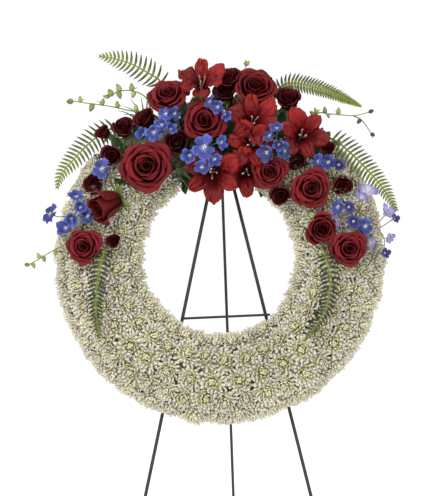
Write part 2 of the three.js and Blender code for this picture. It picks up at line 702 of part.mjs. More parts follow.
// The plastic tray that the foam sits in, with two pegs at the back beside each front leg.
const legAt = (y) => LEG_SPREAD * (LEG_APEX - y);
const TIE_PLACE = { x: legAt(-RING_RADIUS), y: -RING_RADIUS };
const pegPlaces = [-1, 1].flatMap((side) => [-1, 1].map((way) => side * TIE_PLACE.x + way * PEG_OFFSET));

function tray() {
  const inside = FOAM_HALF_WIDTH + GAP;
  const outside = inside + TRAY_WALL;
  const floor = TRAY_BACK + TRAY_WALL;
  const top = TRAY_BACK + TRAY_DEPTH;
  const trough = ring([
    [outside, TRAY_BACK], [outside, top], [inside, top], [inside, floor],
    [-inside, floor], [-inside, top], [-outside, top], [-outside, TRAY_BACK],
  ]);
  const pegs = pegPlaces.map((x) =>
    rod(vec(x, TIE_PLACE.y, PEG_END), vec(x, TIE_PLACE.y, TRAY_BACK + 1), PEG_RADIUS, 6),
  );
  return joined([trough, ...pegs]).subtract(prongRod(PRONG_RADIUS + GAP));
}

function foam(rooms) {
  const low = TRAY_BACK + TRAY_WALL + GAP;
  const high = low + FOAM_HEIGHT;
  const half = FOAM_HALF_WIDTH;
  const block = ring([[half, low], [half, high], [-half, high], [-half, low]]);
  const pins = MUM_SECTORS.map((sector) => pin(sector, PIN_RADIUS + 1.5 * GAP));
  return trimmed(block, [...rooms, ...pins, prongRod(PRONG_RADIUS + GAP)]);
}

// A stadium round the two pegs beside a leg, this far from their middles.
function loopOutline(Kind, reach) {
  const outline = new Kind();
  outline.absarc(PEG_OFFSET, 0, reach, -Math.PI / 2, Math.PI / 2);
  outline.absarc(-PEG_OFFSET, 0, reach, Math.PI / 2, (3 * Math.PI) / 2);
  return outline;
}

// A wire tie: a closed loop behind a leg, round the two pegs beside it.
function tie(side) {
  const outline = loopOutline(THREE.Shape, PEG_RADIUS + GAP + TIE_WIDTH);
  outline.holes.push(loopOutline(THREE.Path, PEG_RADIUS + GAP));
  const settings = { depth: TIE_WIDTH, bevelEnabled: false, curveSegments: 4 };
  const loop = new THREE.ExtrudeGeometry(outline, settings);
  return solid(loop.translate(side * TIE_PLACE.x, TIE_PLACE.y, -(LEG_RADIUS + GAP + TIE_WIDTH)));
}

function prongRod(radius) {
  return rod(vec(0, PRONG_HEIGHT, 0), vec(0, PRONG_HEIGHT, PRONG_REACH), radius, 6);
}

// The front legs end on the floor, cut flat.
function easel(floorCut) {
  const foot = -CENTRE_TO_FLOOR - 20;
  const onLeg = (side, y) => vec(side * legAt(y), y, 0);
  const leg = (side) => rod(onLeg(side, foot), onLeg(side, LEG_TOP), LEG_RADIUS, 12).subtract(floorCut);
  const barHeight = LEG_RADIUS + GAP + CROSSBAR_RADIUS;
  const [barLeft, barRight] = CROSSBAR_ENDS.map(([x, y]) => vec(x, y, barHeight));
  const hinge = vec(0, HINGE_HEIGHT, -(LEG_RADIUS + GAP + HINGE_BAR_RADIUS));
  const hingeEnds = [-0.5, 0.5].map((share) => hinge.clone().setX(share * HINGE_BAR_LENGTH));
  const bracket = box(
    vec(-BRACKET.width / 2, BRACKET.bottom, BRACKET.back),
    vec(BRACKET.width / 2, BRACKET.top, BRACKET.front),
  );
  return [
    { name: "easel_leg_left", shape: leg(-1) },
    { name: "easel_leg_right", shape: leg(1) },
    { name: "easel_crossbar", shape: rod(barLeft, barRight, CROSSBAR_RADIUS, 10) },
    { name: "easel_hinge_bar", shape: rod(...hingeEnds, HINGE_BAR_RADIUS, 12) },
    { name: "easel_prong", shape: bracket.add(prongRod(PRONG_RADIUS)) },
    { name: "easel_rear_leg", shape: rearLeg(hinge, floorCut) },
  ].map((piece) => ({ ...piece, colour: 0x1d2a24, metal: true }));
}

// The rear leg: an eye round the hinge bar, a bar to the floor, and a tongue above the eye that stops
// against the backs of the front legs.
function rearLeg(hinge, floorCut) {
  const eyeRadius = HINGE_BAR_RADIUS + HINGE_CLEARANCE + REAR_LEG_RADIUS;
  const torus = new THREE.TorusGeometry(eyeRadius, REAR_LEG_RADIUS, 5, 10);
  const eye = solid(torus.rotateY(Math.PI / 2).translate(...hinge));
  const down = vec(0, -Math.cos(rad(REAR_LEG_ANGLE)), -Math.sin(rad(REAR_LEG_ANGLE)));
  const top = hinge.clone().addScaledVector(down, eyeRadius);
  const bottom = hinge.clone().addScaledVector(down, 2 * CENTRE_TO_FLOOR);
  const front = -(LEG_RADIUS + GAP);
  const tongue = box(
    vec(-STOP_WIDTH / 2, HINGE_HEIGHT + eyeRadius - 1, front - STOP_THICKNESS),
    vec(STOP_WIDTH / 2, HINGE_HEIGHT + STOP_HEIGHT, front),
  );
  return joined([eye, rod(top, bottom, REAR_LEG_RADIUS, 12), tongue]).subtract(floorCut);
}

// The wreath is stood up: the ring's centre goes to its height over the floor, leaning back.
const wreath = new THREE.Group();
wreath.rotation.x = rad(90 - LEAN);
wreath.position.z = CENTRE_TO_FLOOR * Math.cos(rad(LEAN));
wreath.updateMatrix();

const floorSlab = new THREE.BoxGeometry(3000, 3000, 1000).translate(0, 0, -500);
const floorCut = solid(floorSlab.applyMatrix4(wreath.matrix.clone().invert()));
const blooms = arrangement();
const rooms = blooms.flatMap((bloom) => bloom.rooms);
const pieces = [
  ...easel(floorCut),
  { name: "foam_tray", colour: 0x234d2c, shape: tray() },
  { name: "foam_ring", colour: 0x4f7a4a, shape: foam(rooms) },
  { name: "wire_tie_left", colour: 0x8a8d8f, metal: true, shape: tie(-1) },
  { name: "wire_tie_right", colour: 0x8a8d8f, metal: true, shape: tie(1) },
  ...cover(rooms),
  ...blooms,
];
for (const { name, colour, metal, shape } of pieces) {
  const material = new THREE.MeshStandardMaterial({
    color: colour,
    roughness: metal ? 0.45 : 0.8,
    metalness: metal ? 0.6 : 0,
    flatShading: true,
  });
  const mesh = new THREE.Mesh(geometryOf(shape), material);
  mesh.name = name;
  wreath.add(mesh);
}

// The part's origin is on the floor, under the middle of everything.
const part = new THREE.Group();
part.add(wreath);
part.updateMatrixWorld(true);
const whole = new THREE.Box3().setFromObject(part, true);
const middle = whole.getCenter(new THREE.Vector3());
wreath.position.x -= middle.x;
wreath.position.y -= middle.y;
wreath.position.z -= whole.min.z;

export default part;
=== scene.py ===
# %% [markdown]
# A standing funeral wreath, dressed petal by petal.
# The construction comes from elsewhere as a fixed frame: an easel, a foam ring in its tray, and a plain
# solid for every bloom, spray and frond. Each of these plain solids is replaced here by a finer piece that
# stands in the same place and keeps the same form.

# %% Load the frame
import math
import random

import bmesh
import bpy
import numpy as np
from mathutils import Matrix, Vector


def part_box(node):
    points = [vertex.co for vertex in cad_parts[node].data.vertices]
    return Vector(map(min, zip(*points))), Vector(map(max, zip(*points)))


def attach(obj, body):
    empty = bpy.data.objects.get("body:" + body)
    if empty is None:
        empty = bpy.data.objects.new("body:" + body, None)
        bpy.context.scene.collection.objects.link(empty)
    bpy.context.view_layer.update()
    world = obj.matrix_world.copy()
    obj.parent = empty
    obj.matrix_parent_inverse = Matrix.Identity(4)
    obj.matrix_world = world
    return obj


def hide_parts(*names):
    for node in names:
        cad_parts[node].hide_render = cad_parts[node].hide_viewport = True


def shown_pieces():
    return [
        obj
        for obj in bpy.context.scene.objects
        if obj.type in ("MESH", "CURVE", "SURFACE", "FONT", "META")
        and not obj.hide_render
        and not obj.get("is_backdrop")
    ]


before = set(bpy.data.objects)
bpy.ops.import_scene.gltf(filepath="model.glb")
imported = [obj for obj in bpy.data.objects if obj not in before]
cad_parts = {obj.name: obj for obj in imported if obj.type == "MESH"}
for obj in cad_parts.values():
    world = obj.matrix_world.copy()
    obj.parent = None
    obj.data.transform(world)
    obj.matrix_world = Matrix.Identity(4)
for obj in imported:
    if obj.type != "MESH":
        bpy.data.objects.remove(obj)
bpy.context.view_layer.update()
bpy.ops.object.select_all(action="DESELECT")
print("nodes in the frame:", len(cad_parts))

# %% [markdown]
# The wreath leans back on its easel, so its flowers are awkward to place in the upright frame. They are laid
# out on the ring's own plane instead, in millimetres: x to the right, y up the ring, z out of its front, with
# the ring's centre at the origin. One matrix, STAND, then stands each finished piece up. The ring's centre is
# found from the foam ring, whose middle lies a known height in front of the legs.

# %% The wreath's own plane
LEAN = math.radians(12)
FOAM_MIDDLE = 32.1  # mm in front of the middle of the front legs
RING_RADIUS = 237
SECTOR_ANGLE = 360 / 11
FRONT_BODY = "wreath_on_frame"

tilt = Matrix.Rotation(math.radians(90) - LEAN, 4, "X")
foam_low, foam_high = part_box("foam_ring")
ring_centre = (foam_low + foam_high) / 2 - tilt @ Vector((0, 0, FOAM_MIDDLE / 1000))
STAND = Matrix.Translation(ring_centre) @ tilt @ Matrix.Scale(0.001, 4)
print("ring centre, metres:", [round(value, 4) for value in ring_centre])

# %% [markdown]
# The flowers' places were sighted from the front. A flower that stands nearer to the eye than the ring looks
# larger and higher than it is, so its place is moved along the line of sight to its own height.

# %% Where a sighted flower really is
SIGHT_LEVEL = 45  # mm in front of the legs, where a sighted place needs no correction
SIGHT_DISTANCE = 2200  # mm; the places were sighted as if from this far
SIGHT_RISE = math.tan(math.radians(8))
SIGHT_TURN = math.radians(1.2)
ROOT_DEPTH = 32  # mm in front of the legs, inside the foam
FORWARD = Vector((0, 0, 1))


def seen(x, y, z=ROOT_DEPTH):
    """The true place of what is seen at x and y and stands z in front of the legs."""
    nearer = z - SIGHT_LEVEL
    shrink = 1 - nearer / SIGHT_DISTANCE
    across = (x * math.cos(SIGHT_TURN) + y * math.sin(SIGHT_TURN)) * shrink
    up = (y * math.cos(SIGHT_TURN) - x * math.sin(SIGHT_TURN)) * shrink - nearer * SIGHT_RISE
    return Vector((across, up, z))


def pointing(direction):
    """The turn that takes the z axis to a direction."""
    return FORWARD.rotation_difference(direction).to_matrix().to_4x4()


def standing(root, rim, depth):
    """The matrix of a bloom whose stem runs from root towards rim, with its foot this far below the rim."""
    axis = (rim - root).normalized()
    return Matrix.Translation(rim - axis * depth) @ pointing(axis)


def jitter(seed):
    """An even spread of numbers from 0 to 1, the same each time."""
    return (math.sin(seed * 12.9898) * 43758.5453) % 1


print("a flower seen at 0, 300 and 120 high is at", [round(value) for value in seen(0, 300, 120)])

# %% [markdown]
# Every petal carries two attributes that its material reads. Growth holds how far along the petal a point is
# (0 at its foot, 1 at its lip), how far across it, and which layer of the flower the petal belongs to (0 at
# the heart, 1 outside). Chance is one number for the whole petal. Attributes stay with a mesh when it is
# copied, bent and joined, so no pattern slides when a flower is turned.

# %% Attributes and small helpers
def select_only(*pieces):
    bpy.ops.object.select_all(action="DESELECT")
    for piece in pieces:
        piece.select_set(True)
    bpy.context.view_layer.objects.active = pieces[0]


def set_growth(piece, along, across):
    count = len(piece.data.vertices)
    growth = piece.data.attributes.new("growth", "FLOAT_VECTOR", "POINT")
    growth.data.foreach_set("vector", np.column_stack([along, across, np.zeros(count)]).ravel())
    chance = piece.data.attributes.new("chance", "FLOAT", "POINT")
    chance.data.foreach_set("value", np.full(count, 0.5))


def tone(piece, layer, chance):
    """Gives a whole petal its layer and its chance."""
    growth = piece.data.attributes["growth"].data
    values = np.empty(len(growth) * 3)
    growth.foreach_get("vector", values)
    values[2::3] = layer
    growth.foreach_set("vector", values)
    piece.data.attributes["chance"].data.foreach_set("value", np.full(len(growth), chance))
    return piece


def coordinates(piece):
    values = np.empty(len(piece.data.vertices) * 3)
    piece.data.vertices.foreach_get("co", values)
    return values.reshape(-1, 3)


def copy_of(model, matrix, layer=None, chance=0.5):
    """A copy with a mesh of its own, moved by a matrix."""
    piece = model.copy()
    piece.data = model.data.copy()
    piece.data.transform(matrix)
    bpy.context.scene.collection.objects.link(piece)
    if layer is not None:
        tone(piece, layer, chance)
    return piece


def join(name, pieces):
    select_only(*pieces)
    bpy.ops.object.join()
    whole = bpy.context.view_layer.objects.active
    whole.name = whole.data.name = name
    return whole


def discard(*models):
    select_only(*models)
    bpy.ops.object.delete()


def choose(piece, wanted):
    """In edit mode, selects the vertices that are wanted: one true or false for each."""
    mesh = bmesh.from_edit_mesh(piece.data)
    for vertex, chosen in zip(mesh.verts, wanted):
        vertex.select = bool(chosen)
    mesh.select_flush_mode()
    bmesh.update_edit_mesh(piece.data)


def apply_modifier(piece, kind, **settings):
    modifier = piece.modifiers.new(kind.lower(), kind)
    for key, value in settings.items():
        setattr(modifier, key, value)
    bpy.ops.object.modifier_apply(modifier=modifier.name)


def finished(piece, material):
    piece.data.materials.append(material)
    bpy.ops.object.shade_smooth()
    return piece


def sheet(rows, columns):
    """An upright grid from -1 to 1, in edit mode, with the row and the column of each of its vertices."""
    bpy.ops.mesh.primitive_grid_add(
        x_subdivisions=columns, y_subdivisions=rows - 1, size=2, rotation=(math.pi / 2, 0, 0),
    )
    piece = bpy.context.object
    bpy.ops.object.transform_apply(location=True, rotation=True, scale=True)
    flat = coordinates(piece)
    row_of = np.rint((flat[:, 2] + 1) / 2 * (rows - 1)).astype(int)
    column_of = np.rint((flat[:, 0] + 1) / 2 * columns).astype(int)
    set_growth(piece, row_of / (rows - 1), column_of / columns)
    bpy.ops.object.mode_set(mode="EDIT")
    return piece, row_of, column_of


def thickened(piece, material, thickness, smoothing):
    """A bent sheet made solid and, if asked for, smoothed."""
    apply_modifier(piece, "SOLIDIFY", thickness=thickness, offset=0)
    if smoothing:
        apply_modifier(piece, "SUBSURF", levels=smoothing, render_levels=smoothing)
    return finished(piece, material)


def place_on_wreath(piece, node):
    """Stands a finished piece up, in place of the plain solid."""
    piece.data.transform(STAND)
    piece.name = piece.data.name = node + "_dressed"
    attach(piece, FRONT_BODY)
    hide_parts(node)
    return piece


def make_uneven(piece, amount, size):
    """Lifts and lowers a whole flower's petals by a smooth cloud, so that no two are alike."""
    cloud = bpy.data.textures.new("cloud", "CLOUDS")
    cloud.noise_scale = size
    select_only(piece)
    for direction, share in (("Z", 1.0), ("X", 0.5), ("Y", 0.5)):
        apply_modifier(
            piece, "DISPLACE", texture=cloud, strength=amount * share, mid_level=0.5, direction=direction,
            texture_coords="LOCAL",
        )
    return piece


print("helpers are ready")

# %% [markdown]
# The camera stands where the photograph's did: a little above the ring's centre and to its right, about 3 m
# away, rolled by a degree and a half. Its place is the one at which the wreath, the easel's legs and the tips
# of the fronds all fall where the photograph has them.

# %% Camera
CAMERA_DISTANCE = 2.94
CAMERA_RISE = math.radians(7.35)
CAMERA_SIDE = math.radians(2.3)
CAMERA_ROLL = math.radians(-1.6)
PICTURE = (440, 496)
RING_IN_PICTURE = (222.1, 257.1)  # pixel of the ring's centre
LENS = 108.1  # mm

aim = ring_centre + tilt @ Vector((0, 0, SIGHT_LEVEL / 1000))
towards = Vector((
    math.sin(CAMERA_SIDE) * math.cos(CAMERA_RISE),
    -math.cos(CAMERA_SIDE) * math.cos(CAMERA_RISE),
    math.sin(CAMERA_RISE),
))
bpy.ops.object.camera_add()
camera = bpy.context.object
camera.name = "camera"
camera.data.lens = LENS
camera.data.clip_end = 60
camera.data.shift_x = (PICTURE[0] / 2 - RING_IN_PICTURE[0]) / max(PICTURE)
camera.data.shift_y = (RING_IN_PICTURE[1] - PICTURE[1] / 2) / max(PICTURE)
camera.matrix_world = (
    Matrix.Translation(aim + CAMERA_DISTANCE * towards)
    @ towards.to_track_quat("Z", "Y").to_matrix().to_4x4()
    @ Matrix.Rotation(CAMERA_ROLL, 4, "Z")
)
bpy.context.scene.camera = camera
print("camera at", [round(value, 3) for value in camera.matrix_world.translation])

# %% [markdown]
# A node group is made once and used in many materials. Two helpers keep the code that wires nodes short: wire
# adds a node and sets its options, and plug gives each input its value or links it to another node's socket.

# %% Wiring helper
def plug(tree, node, values):
    for key, value in values.items():
        if isinstance(value, bpy.types.NodeSocket):
            tree.links.new(value, node.inputs[key])
        else:
            node.inputs[key].default_value = value
    return node


def wire(tree, kind, inputs=None, **options):
    node = tree.nodes.new(kind)
    for key, value in options.items():
        setattr(node, key, value)
    return plug(tree, node, inputs or {})


def math_node(tree, operation, first, second=0.0):
    return wire(tree, "ShaderNodeMath", {0: first, 1: second}, operation=operation).outputs[0]


def blend_colours(tree, share, first, second):
    return wire(tree, "ShaderNodeMix", {0: share, 6: first, 7: second}, data_type="RGBA").outputs[2]


def between(tree, value, low, high):
    """0 where value is below low, 1 above high, with a smooth step between."""
    node = wire(
        tree, "ShaderNodeMapRange", {"Value": value, "From Min": low, "From Max": high},
        interpolation_type="SMOOTHSTEP",
    )
    return node.outputs["Result"]


def new_group(name, inputs, outputs):
    group = bpy.data.node_groups.new(name, "ShaderNodeTree")
    for label, kind, value in inputs:
        socket = group.interface.new_socket(label, in_out="INPUT", socket_type=kind)
        socket.default_value = value
    for label, kind in outputs:
        group.interface.new_socket(label, in_out="OUTPUT", socket_type=kind)
    return group, group.nodes.new("NodeGroupInput").outputs, group.nodes.new("NodeGroupOutput").inputs


print("wiring helpers are ready")

# %% [markdown]
# One group colours everything that grew. It goes from the petal's foot through its middle to its lip, draws
# fine veins along it, darkens or pales it a little by chance, and blends towards another colour in the outer
# layers. Its height output is the veins, for a bump.

# %% The group that colours petals and leaves
COLOUR = "NodeSocketColor"
NUMBER = "NodeSocketFloat"
group, given, result = new_group(
    "grown_colour",
    [
        ("Foot", COLOUR, (0, 0, 0, 1)), ("Middle", COLOUR, (1, 1, 1, 1)), ("Lip", COLOUR, (1, 1, 1, 1)),
        ("Heart", COLOUR, (0, 0, 0, 1)), ("Heart Reach", NUMBER, 0.3), ("Foot Reach", NUMBER, 0.4),
        ("Lip Start", NUMBER, 0.7), ("Variation", NUMBER, 0.3), ("Veins", NUMBER, 0.2), ("Midrib", NUMBER, 0.0),
    ],
    [("Color", COLOUR), ("Height", NUMBER)],
)
growth = wire(group, "ShaderNodeAttribute", attribute_name="growth")
chance = wire(group, "ShaderNodeAttribute", attribute_name="chance").outputs["Fac"]
parts = wire(group, "ShaderNodeSeparateXYZ", {0: growth.outputs["Vector"]})
along, across, layer = parts.outputs
from_foot = between(group, along, 0.0, given["Foot Reach"])
to_lip = between(group, along, given["Lip Start"], 1.0)
colour = blend_colours(group, from_foot, given["Foot"], given["Middle"])
colour = blend_colours(group, to_lip, colour, given["Lip"])
away_from_heart = between(group, layer, 0.0, given["Heart Reach"])
colour = blend_colours(group, away_from_heart, given["Heart"], colour)
vein_place = wire(
    group, "ShaderNodeCombineXYZ",
    {0: math_node(group, "MULTIPLY", across, 14.0), 1: math_node(group, "MULTIPLY", along, 1.6),
     2: math_node(group, "MULTIPLY", chance, 40.0)},
)
vein_noise = wire(group, "ShaderNodeTexNoise", {"Vector": vein_place.outputs[0], "Scale": 1.0, "Detail": 3.0})
vein = math_node(group, "SUBTRACT", vein_noise.outputs["Fac"], 0.5)
from_middle = math_node(group, "ABSOLUTE", math_node(group, "SUBTRACT", across, 0.5))
midrib = math_node(group, "SUBTRACT", 1.0, between(group, from_middle, 0.02, 0.12))
rib_share = math_node(group, "MULTIPLY", midrib, given["Midrib"])
brightness = math_node(group, "MULTIPLY", vein, given["Veins"])
luck = math_node(group, "MULTIPLY", math_node(group, "SUBTRACT", chance, 0.5), given["Variation"])
brightness = math_node(group, "ADD", brightness, luck)
brightness = math_node(group, "ADD", math_node(group, "ADD", brightness, rib_share), 1.0)
shaded = wire(group, "ShaderNodeHueSaturation", {"Value": brightness, "Color": colour})
group.links.new(shaded.outputs["Color"], result["Color"])
group.links.new(math_node(group, "ADD", vein, rib_share), result["Height"])
GROWN_COLOUR = group
print("group made:", group.name, len(group.nodes), "nodes")

# %% [markdown]
# Petals are soft and let a little light through. Rose petals are like velvet and reflect very little, fresh
# leaves are glossier, with a waxy coat. Each grown material is the same few nodes with its own colours.

# %% Materials of all that grew
VEIN_DEPTH = 0.0006
LIGHT_REACH = (0.004, 0.003, 0.002)  # metres that red, green and blue light run inside a petal


def rgb(red, green, blue):
    return (red, green, blue, 1.0)


def start_material(name, group, values, bump, depth):
    """A Principled material that takes its colour and its relief from a group with these input values."""
    material = bpy.data.materials.new(name)
    material.use_nodes = True
    tree = material.node_tree
    shader = tree.nodes["Principled BSDF"]
    paint = wire(tree, "ShaderNodeGroup", values, node_tree=group).outputs
    relief = wire(tree, "ShaderNodeBump", {"Strength": bump, "Distance": depth, "Height": paint["Height"]})
    plug(tree, shader, {"Base Color": paint["Color"], "Normal": relief.outputs["Normal"]})
    return material, shader, paint


def grown_material(name, *colours, reach=(0.3, 0.4, 0.7), variation=0.3, veins=0.2, midrib=0.0,
                   roughness=0.6, gloss=0.3, coat=0.0, through=0.0, bump=0.2):
    """Its colours are those of the foot, the middle, the lip and the heart."""
    values = {"Variation": variation, "Veins": veins, "Midrib": midrib}
    values.update(zip(("Foot", "Middle", "Lip", "Heart"), (rgb(*colour) for colour in colours)))
    values.update(zip(("Heart Reach", "Foot Reach", "Lip Start"), reach))
    material, shader, _ = start_material(name, GROWN_COLOUR, values, bump, VEIN_DEPTH)
    plug(material.node_tree, shader, {
        "Roughness": roughness, "Specular IOR Level": gloss, "Coat Weight": coat, "Subsurface Weight": through,
        "Subsurface Radius": LIGHT_REACH, "Subsurface Scale": 1.0,
    })
    return material


# The foot is partly the petal's own yellow-green and partly painted shade: it is a little darker, for the shade
# among the petals' crowded feet.
WHITE_PETAL = grown_material(
    "chrysanthemum_petal", (0.63, 0.59, 0.38), (0.66, 0.62, 0.46), (0.65, 0.61, 0.51), (0.54, 0.57, 0.17),
    reach=(0.34, 0.5, 0.55), variation=0.25, veins=0.12, roughness=0.7, gloss=0.15, through=0.2,
)
YELLOW_CENTRE = grown_material(
    "chrysanthemum_centre", (0.14, 0.17, 0.02), (0.30, 0.34, 0.04), (0.46, 0.49, 0.10), (0.03, 0.035, 0.01),
    reach=(0.5, 0.5, 0.6), roughness=0.6,
)
# Painted light in the large roses: the dark foot and the darker heart are painted shade deep in the cup, and the
# paler lip is a painted highlight.
CRIMSON = grown_material(
    "large_rose_petal", (0.020, 0.001, 0.001), (0.085, 0.003, 0.004), (0.155, 0.009, 0.013), (0.055, 0.002, 0.002),
    reach=(0.45, 0.6, 0.5), variation=0.6, veins=0.4, roughness=0.6, gloss=0.15,
)
# Painted light in the spray roses too: the dark foot and heart are painted shade inside the cup, and the paler lip
# is a painted highlight.
MAROON = grown_material(
    "spray_rose_petal", (0.014, 0.001, 0.001), (0.045, 0.002, 0.003), (0.085, 0.004, 0.007), (0.028, 0.001, 0.002),
    reach=(0.3, 0.6, 0.5), variation=0.6, veins=0.4, roughness=0.6, gloss=0.15,
)
SCARLET = grown_material(
    "gladiolus_petal", (0.025, 0.001, 0.002), (0.155, 0.004, 0.005), (0.23, 0.010, 0.008), (0.14, 0.004, 0.005),
    reach=(0.1, 0.6, 0.5), variation=0.6, veins=0.7, roughness=0.5, gloss=0.2,
)
STAMEN = grown_material(
    "gladiolus_stamen", (0.3, 0.03, 0.03), (0.5, 0.22, 0.22), (0.65, 0.52, 0.46), (0.5, 0.3, 0.25),
    roughness=0.5,
)
# The darkened middle is partly the petal's own blue and partly painted shade, for the shadows that the petals throw
# on one another.
CORNFLOWER = grown_material(
    "delphinium_petal", (0.24, 0.26, 0.48), (0.034, 0.048, 0.215), (0.080, 0.105, 0.35), (0.03, 0.035, 0.15),
    reach=(0.3, 0.42, 0.6), variation=1.3, veins=1.1, roughness=0.55,
)
LILAC = grown_material(
    "delphinium_lilac_petal", (0.52, 0.52, 0.52), (0.22, 0.20, 0.42), (0.12, 0.10, 0.32), (0.04, 0.03, 0.14),
    reach=(0.3, 0.8, 0.6), variation=1.0, veins=0.9, roughness=0.55,
)
INDIGO = grown_material(
    "delphinium_indigo_petal", (0.10, 0.09, 0.24), (0.035, 0.03, 0.15), (0.06, 0.05, 0.22), (0.02, 0.02, 0.09),
    variation=0.7, veins=0.6, roughness=0.55,
)
EYE = grown_material(
    "delphinium_eye", (0.42, 0.38, 0.14), (0.62, 0.60, 0.50), (0.72, 0.72, 0.68), (0.5, 0.5, 0.4),
    roughness=0.5,
)
GREEN_STEM = grown_material(
    "green_stem", (0.07, 0.09, 0.02), (0.13, 0.16, 0.035), (0.17, 0.20, 0.05), (0.10, 0.13, 0.03),
    variation=0.3, veins=0.3, roughness=0.5,
)
GREEN_BUD = grown_material(
    "delphinium_green_bud", (0.16, 0.19, 0.05), (0.25, 0.27, 0.09), (0.14, 0.17, 0.05), (0.2, 0.22, 0.06),
    variation=0.6, veins=0.5, roughness=0.5,
)
PURPLE_BUD = grown_material(
    "delphinium_purple_bud", (0.10, 0.12, 0.05), (0.045, 0.04, 0.11), (0.05, 0.04, 0.12), (0.05, 0.04, 0.12),
    reach=(0.3, 0.3, 0.7), roughness=0.5,
)
FERN_GREEN = grown_material(
    "fern_leaflet", (0.15, 0.18, 0.024), (0.060, 0.078, 0.011), (0.042, 0.054, 0.012), (0.20, 0.22, 0.028),
    reach=(0.9, 0.5, 0.6), variation=0.6, veins=0.25, midrib=0.3, roughness=0.45, coat=0.05,
)
FERN_DARK = grown_material(
    "fern_leaflet_dark", (0.075, 0.10, 0.020), (0.016, 0.024, 0.008), (0.011, 0.016, 0.007), (0.13, 0.15, 0.025),
    reach=(0.6, 0.45, 0.6), variation=0.5, veins=0.25, midrib=0.3, roughness=0.45, coat=0.05,
)
FERN_RIB = grown_material(
    "fern_rib", (0.07, 0.09, 0.015), (0.12, 0.15, 0.022), (0.17, 0.19, 0.03), (0.12, 0.14, 0.02),
    variation=0.2, veins=0.2, roughness=0.5,
)
DARK_LEAF = grown_material(
    "bed_leaf", (0.018, 0.032, 0.009), (0.022, 0.044, 0.011), (0.034, 0.058, 0.015), (0.012, 0.03, 0.006),
    variation=0.7, veins=0.3, midrib=0.8, roughness=0.45, coat=0.15, bump=0.4,
)
print("grown materials:", len(bpy.data.materials))

# %% [markdown]
# A made material is a different matter: painted wire, moulded plastic and wet foam. They read Object
# coordinates, because every piece sits at the origin with its place in its mesh. One group gives them all
# their speckle and their fine relief, at a scale that each material sets.

# %% The group for made surfaces
group, given, result = new_group(
    "speckled_surface",
    [("Base", COLOUR, (0.5, 0.5, 0.5, 1)), ("Speck", COLOUR, (0.2, 0.2, 0.2, 1)), ("Size", NUMBER, 200.0),
     ("Amount", NUMBER, 0.3), ("Roughness Low", NUMBER, 0.3), ("Roughness High", NUMBER, 0.6)],
    [("Color", COLOUR), ("Roughness", NUMBER), ("Height", NUMBER)],
)
place = wire(group, "ShaderNodeTexCoord").outputs["Object"]
cloud = wire(group, "ShaderNodeTexNoise", {"Vector": place, "Scale": given["Size"], "Detail": 5.0}).outputs["Fac"]
cells = wire(group, "ShaderNodeTexVoronoi", {"Vector": place, "Scale": given["Size"]}).outputs["Distance"]
spots = math_node(group, "MULTIPLY", between(group, cloud, 0.48, 0.66), given["Amount"])
group.links.new(blend_colours(group, spots, given["Base"], given["Speck"]), result["Color"])
rough = wire(group, "ShaderNodeMapRange", {
    "Value": cloud, "From Min": 0.3, "From Max": 0.7,
    "To Min": given["Roughness Low"], "To Max": given["Roughness High"],
})
group.links.new(rough.outputs["Result"], result["Roughness"])
group.links.new(math_node(group, "ADD", cells, cloud), result["Height"])
SPECKLED = group


def made_material(name, base, speck, size, amount, roughness, metallic=0.0, bump=0.2, depth=0.0005):
    values = {
        "Base": rgb(*base), "Speck": rgb(*speck), "Size": size, "Amount": amount,
        "Roughness Low": roughness[0], "Roughness High": roughness[1],
    }
    material, shader, paint = start_material(name, SPECKLED, values, bump, depth)
    plug(material.node_tree, shader, {"Roughness": paint["Roughness"], "Metallic": metallic})
    return material


WIRE_PAINT = made_material(
    "easel_wire_paint", (0.008, 0.013, 0.010), (0.030, 0.038, 0.033), 260.0, 0.6, (0.45, 0.7), bump=0.35,
    depth=0.0004,
)
TRAY_PLASTIC = made_material(
    "tray_plastic", (0.020, 0.075, 0.028), (0.03, 0.10, 0.04), 900.0, 0.5, (0.4, 0.55), bump=0.15,
)
WET_FOAM = made_material(
    "floral_foam", (0.035, 0.11, 0.04), (0.010, 0.04, 0.014), 520.0, 0.9, (0.75, 0.95), bump=0.9, depth=0.001,
)
TIE_WIRE = made_material(
    "tie_wire", (0.35, 0.36, 0.37), (0.18, 0.17, 0.16), 700.0, 0.6, (0.3, 0.5), metallic=0.9,
)
# Packed leaves seen from the sides; the same dark olive, seen through the gaps between the chrysanthemum heads, is
# painted shade.
PACKED_LEAVES_AND_GAP_SHADE = made_material(
    "packed_leaves_and_gap_shade", (0.10, 0.10, 0.045), (0.32, 0.30, 0.20), 150.0, 0.9, (0.6, 0.9), bump=0.9, depth=0.003,
)
DARK_MOSS = made_material(
    "dark_moss", (0.012, 0.020, 0.008), (0.03, 0.045, 0.015), 150.0, 0.8, (0.6, 0.9), bump=0.9, depth=0.003,
)
for name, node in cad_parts.items():
    finish = WIRE_PAINT if name.startswith("easel") else {"foam_tray": TRAY_PLASTIC, "foam_ring": WET_FOAM}.get(name)
    if finish:
        for socket in node.material_slots:
            socket.material = finish
print("made materials are on the easel, the tray and the foam")

# %% [markdown]
# A petal starts as a flat grid, drawn as if the flower's skin had been unrolled: across the grid is the angle
# round the flower's axis in radians, and up the grid is the way from foot to lip. Each row is widened, pushed
# in or out and lifted with the ordinary resize and move tools. A bend of one radian for each unit of width
# then rolls the sheet round the axis, so a row that was moved back by 1 - r ends up at radius r. Last come
# thickness and one level of smoothing.

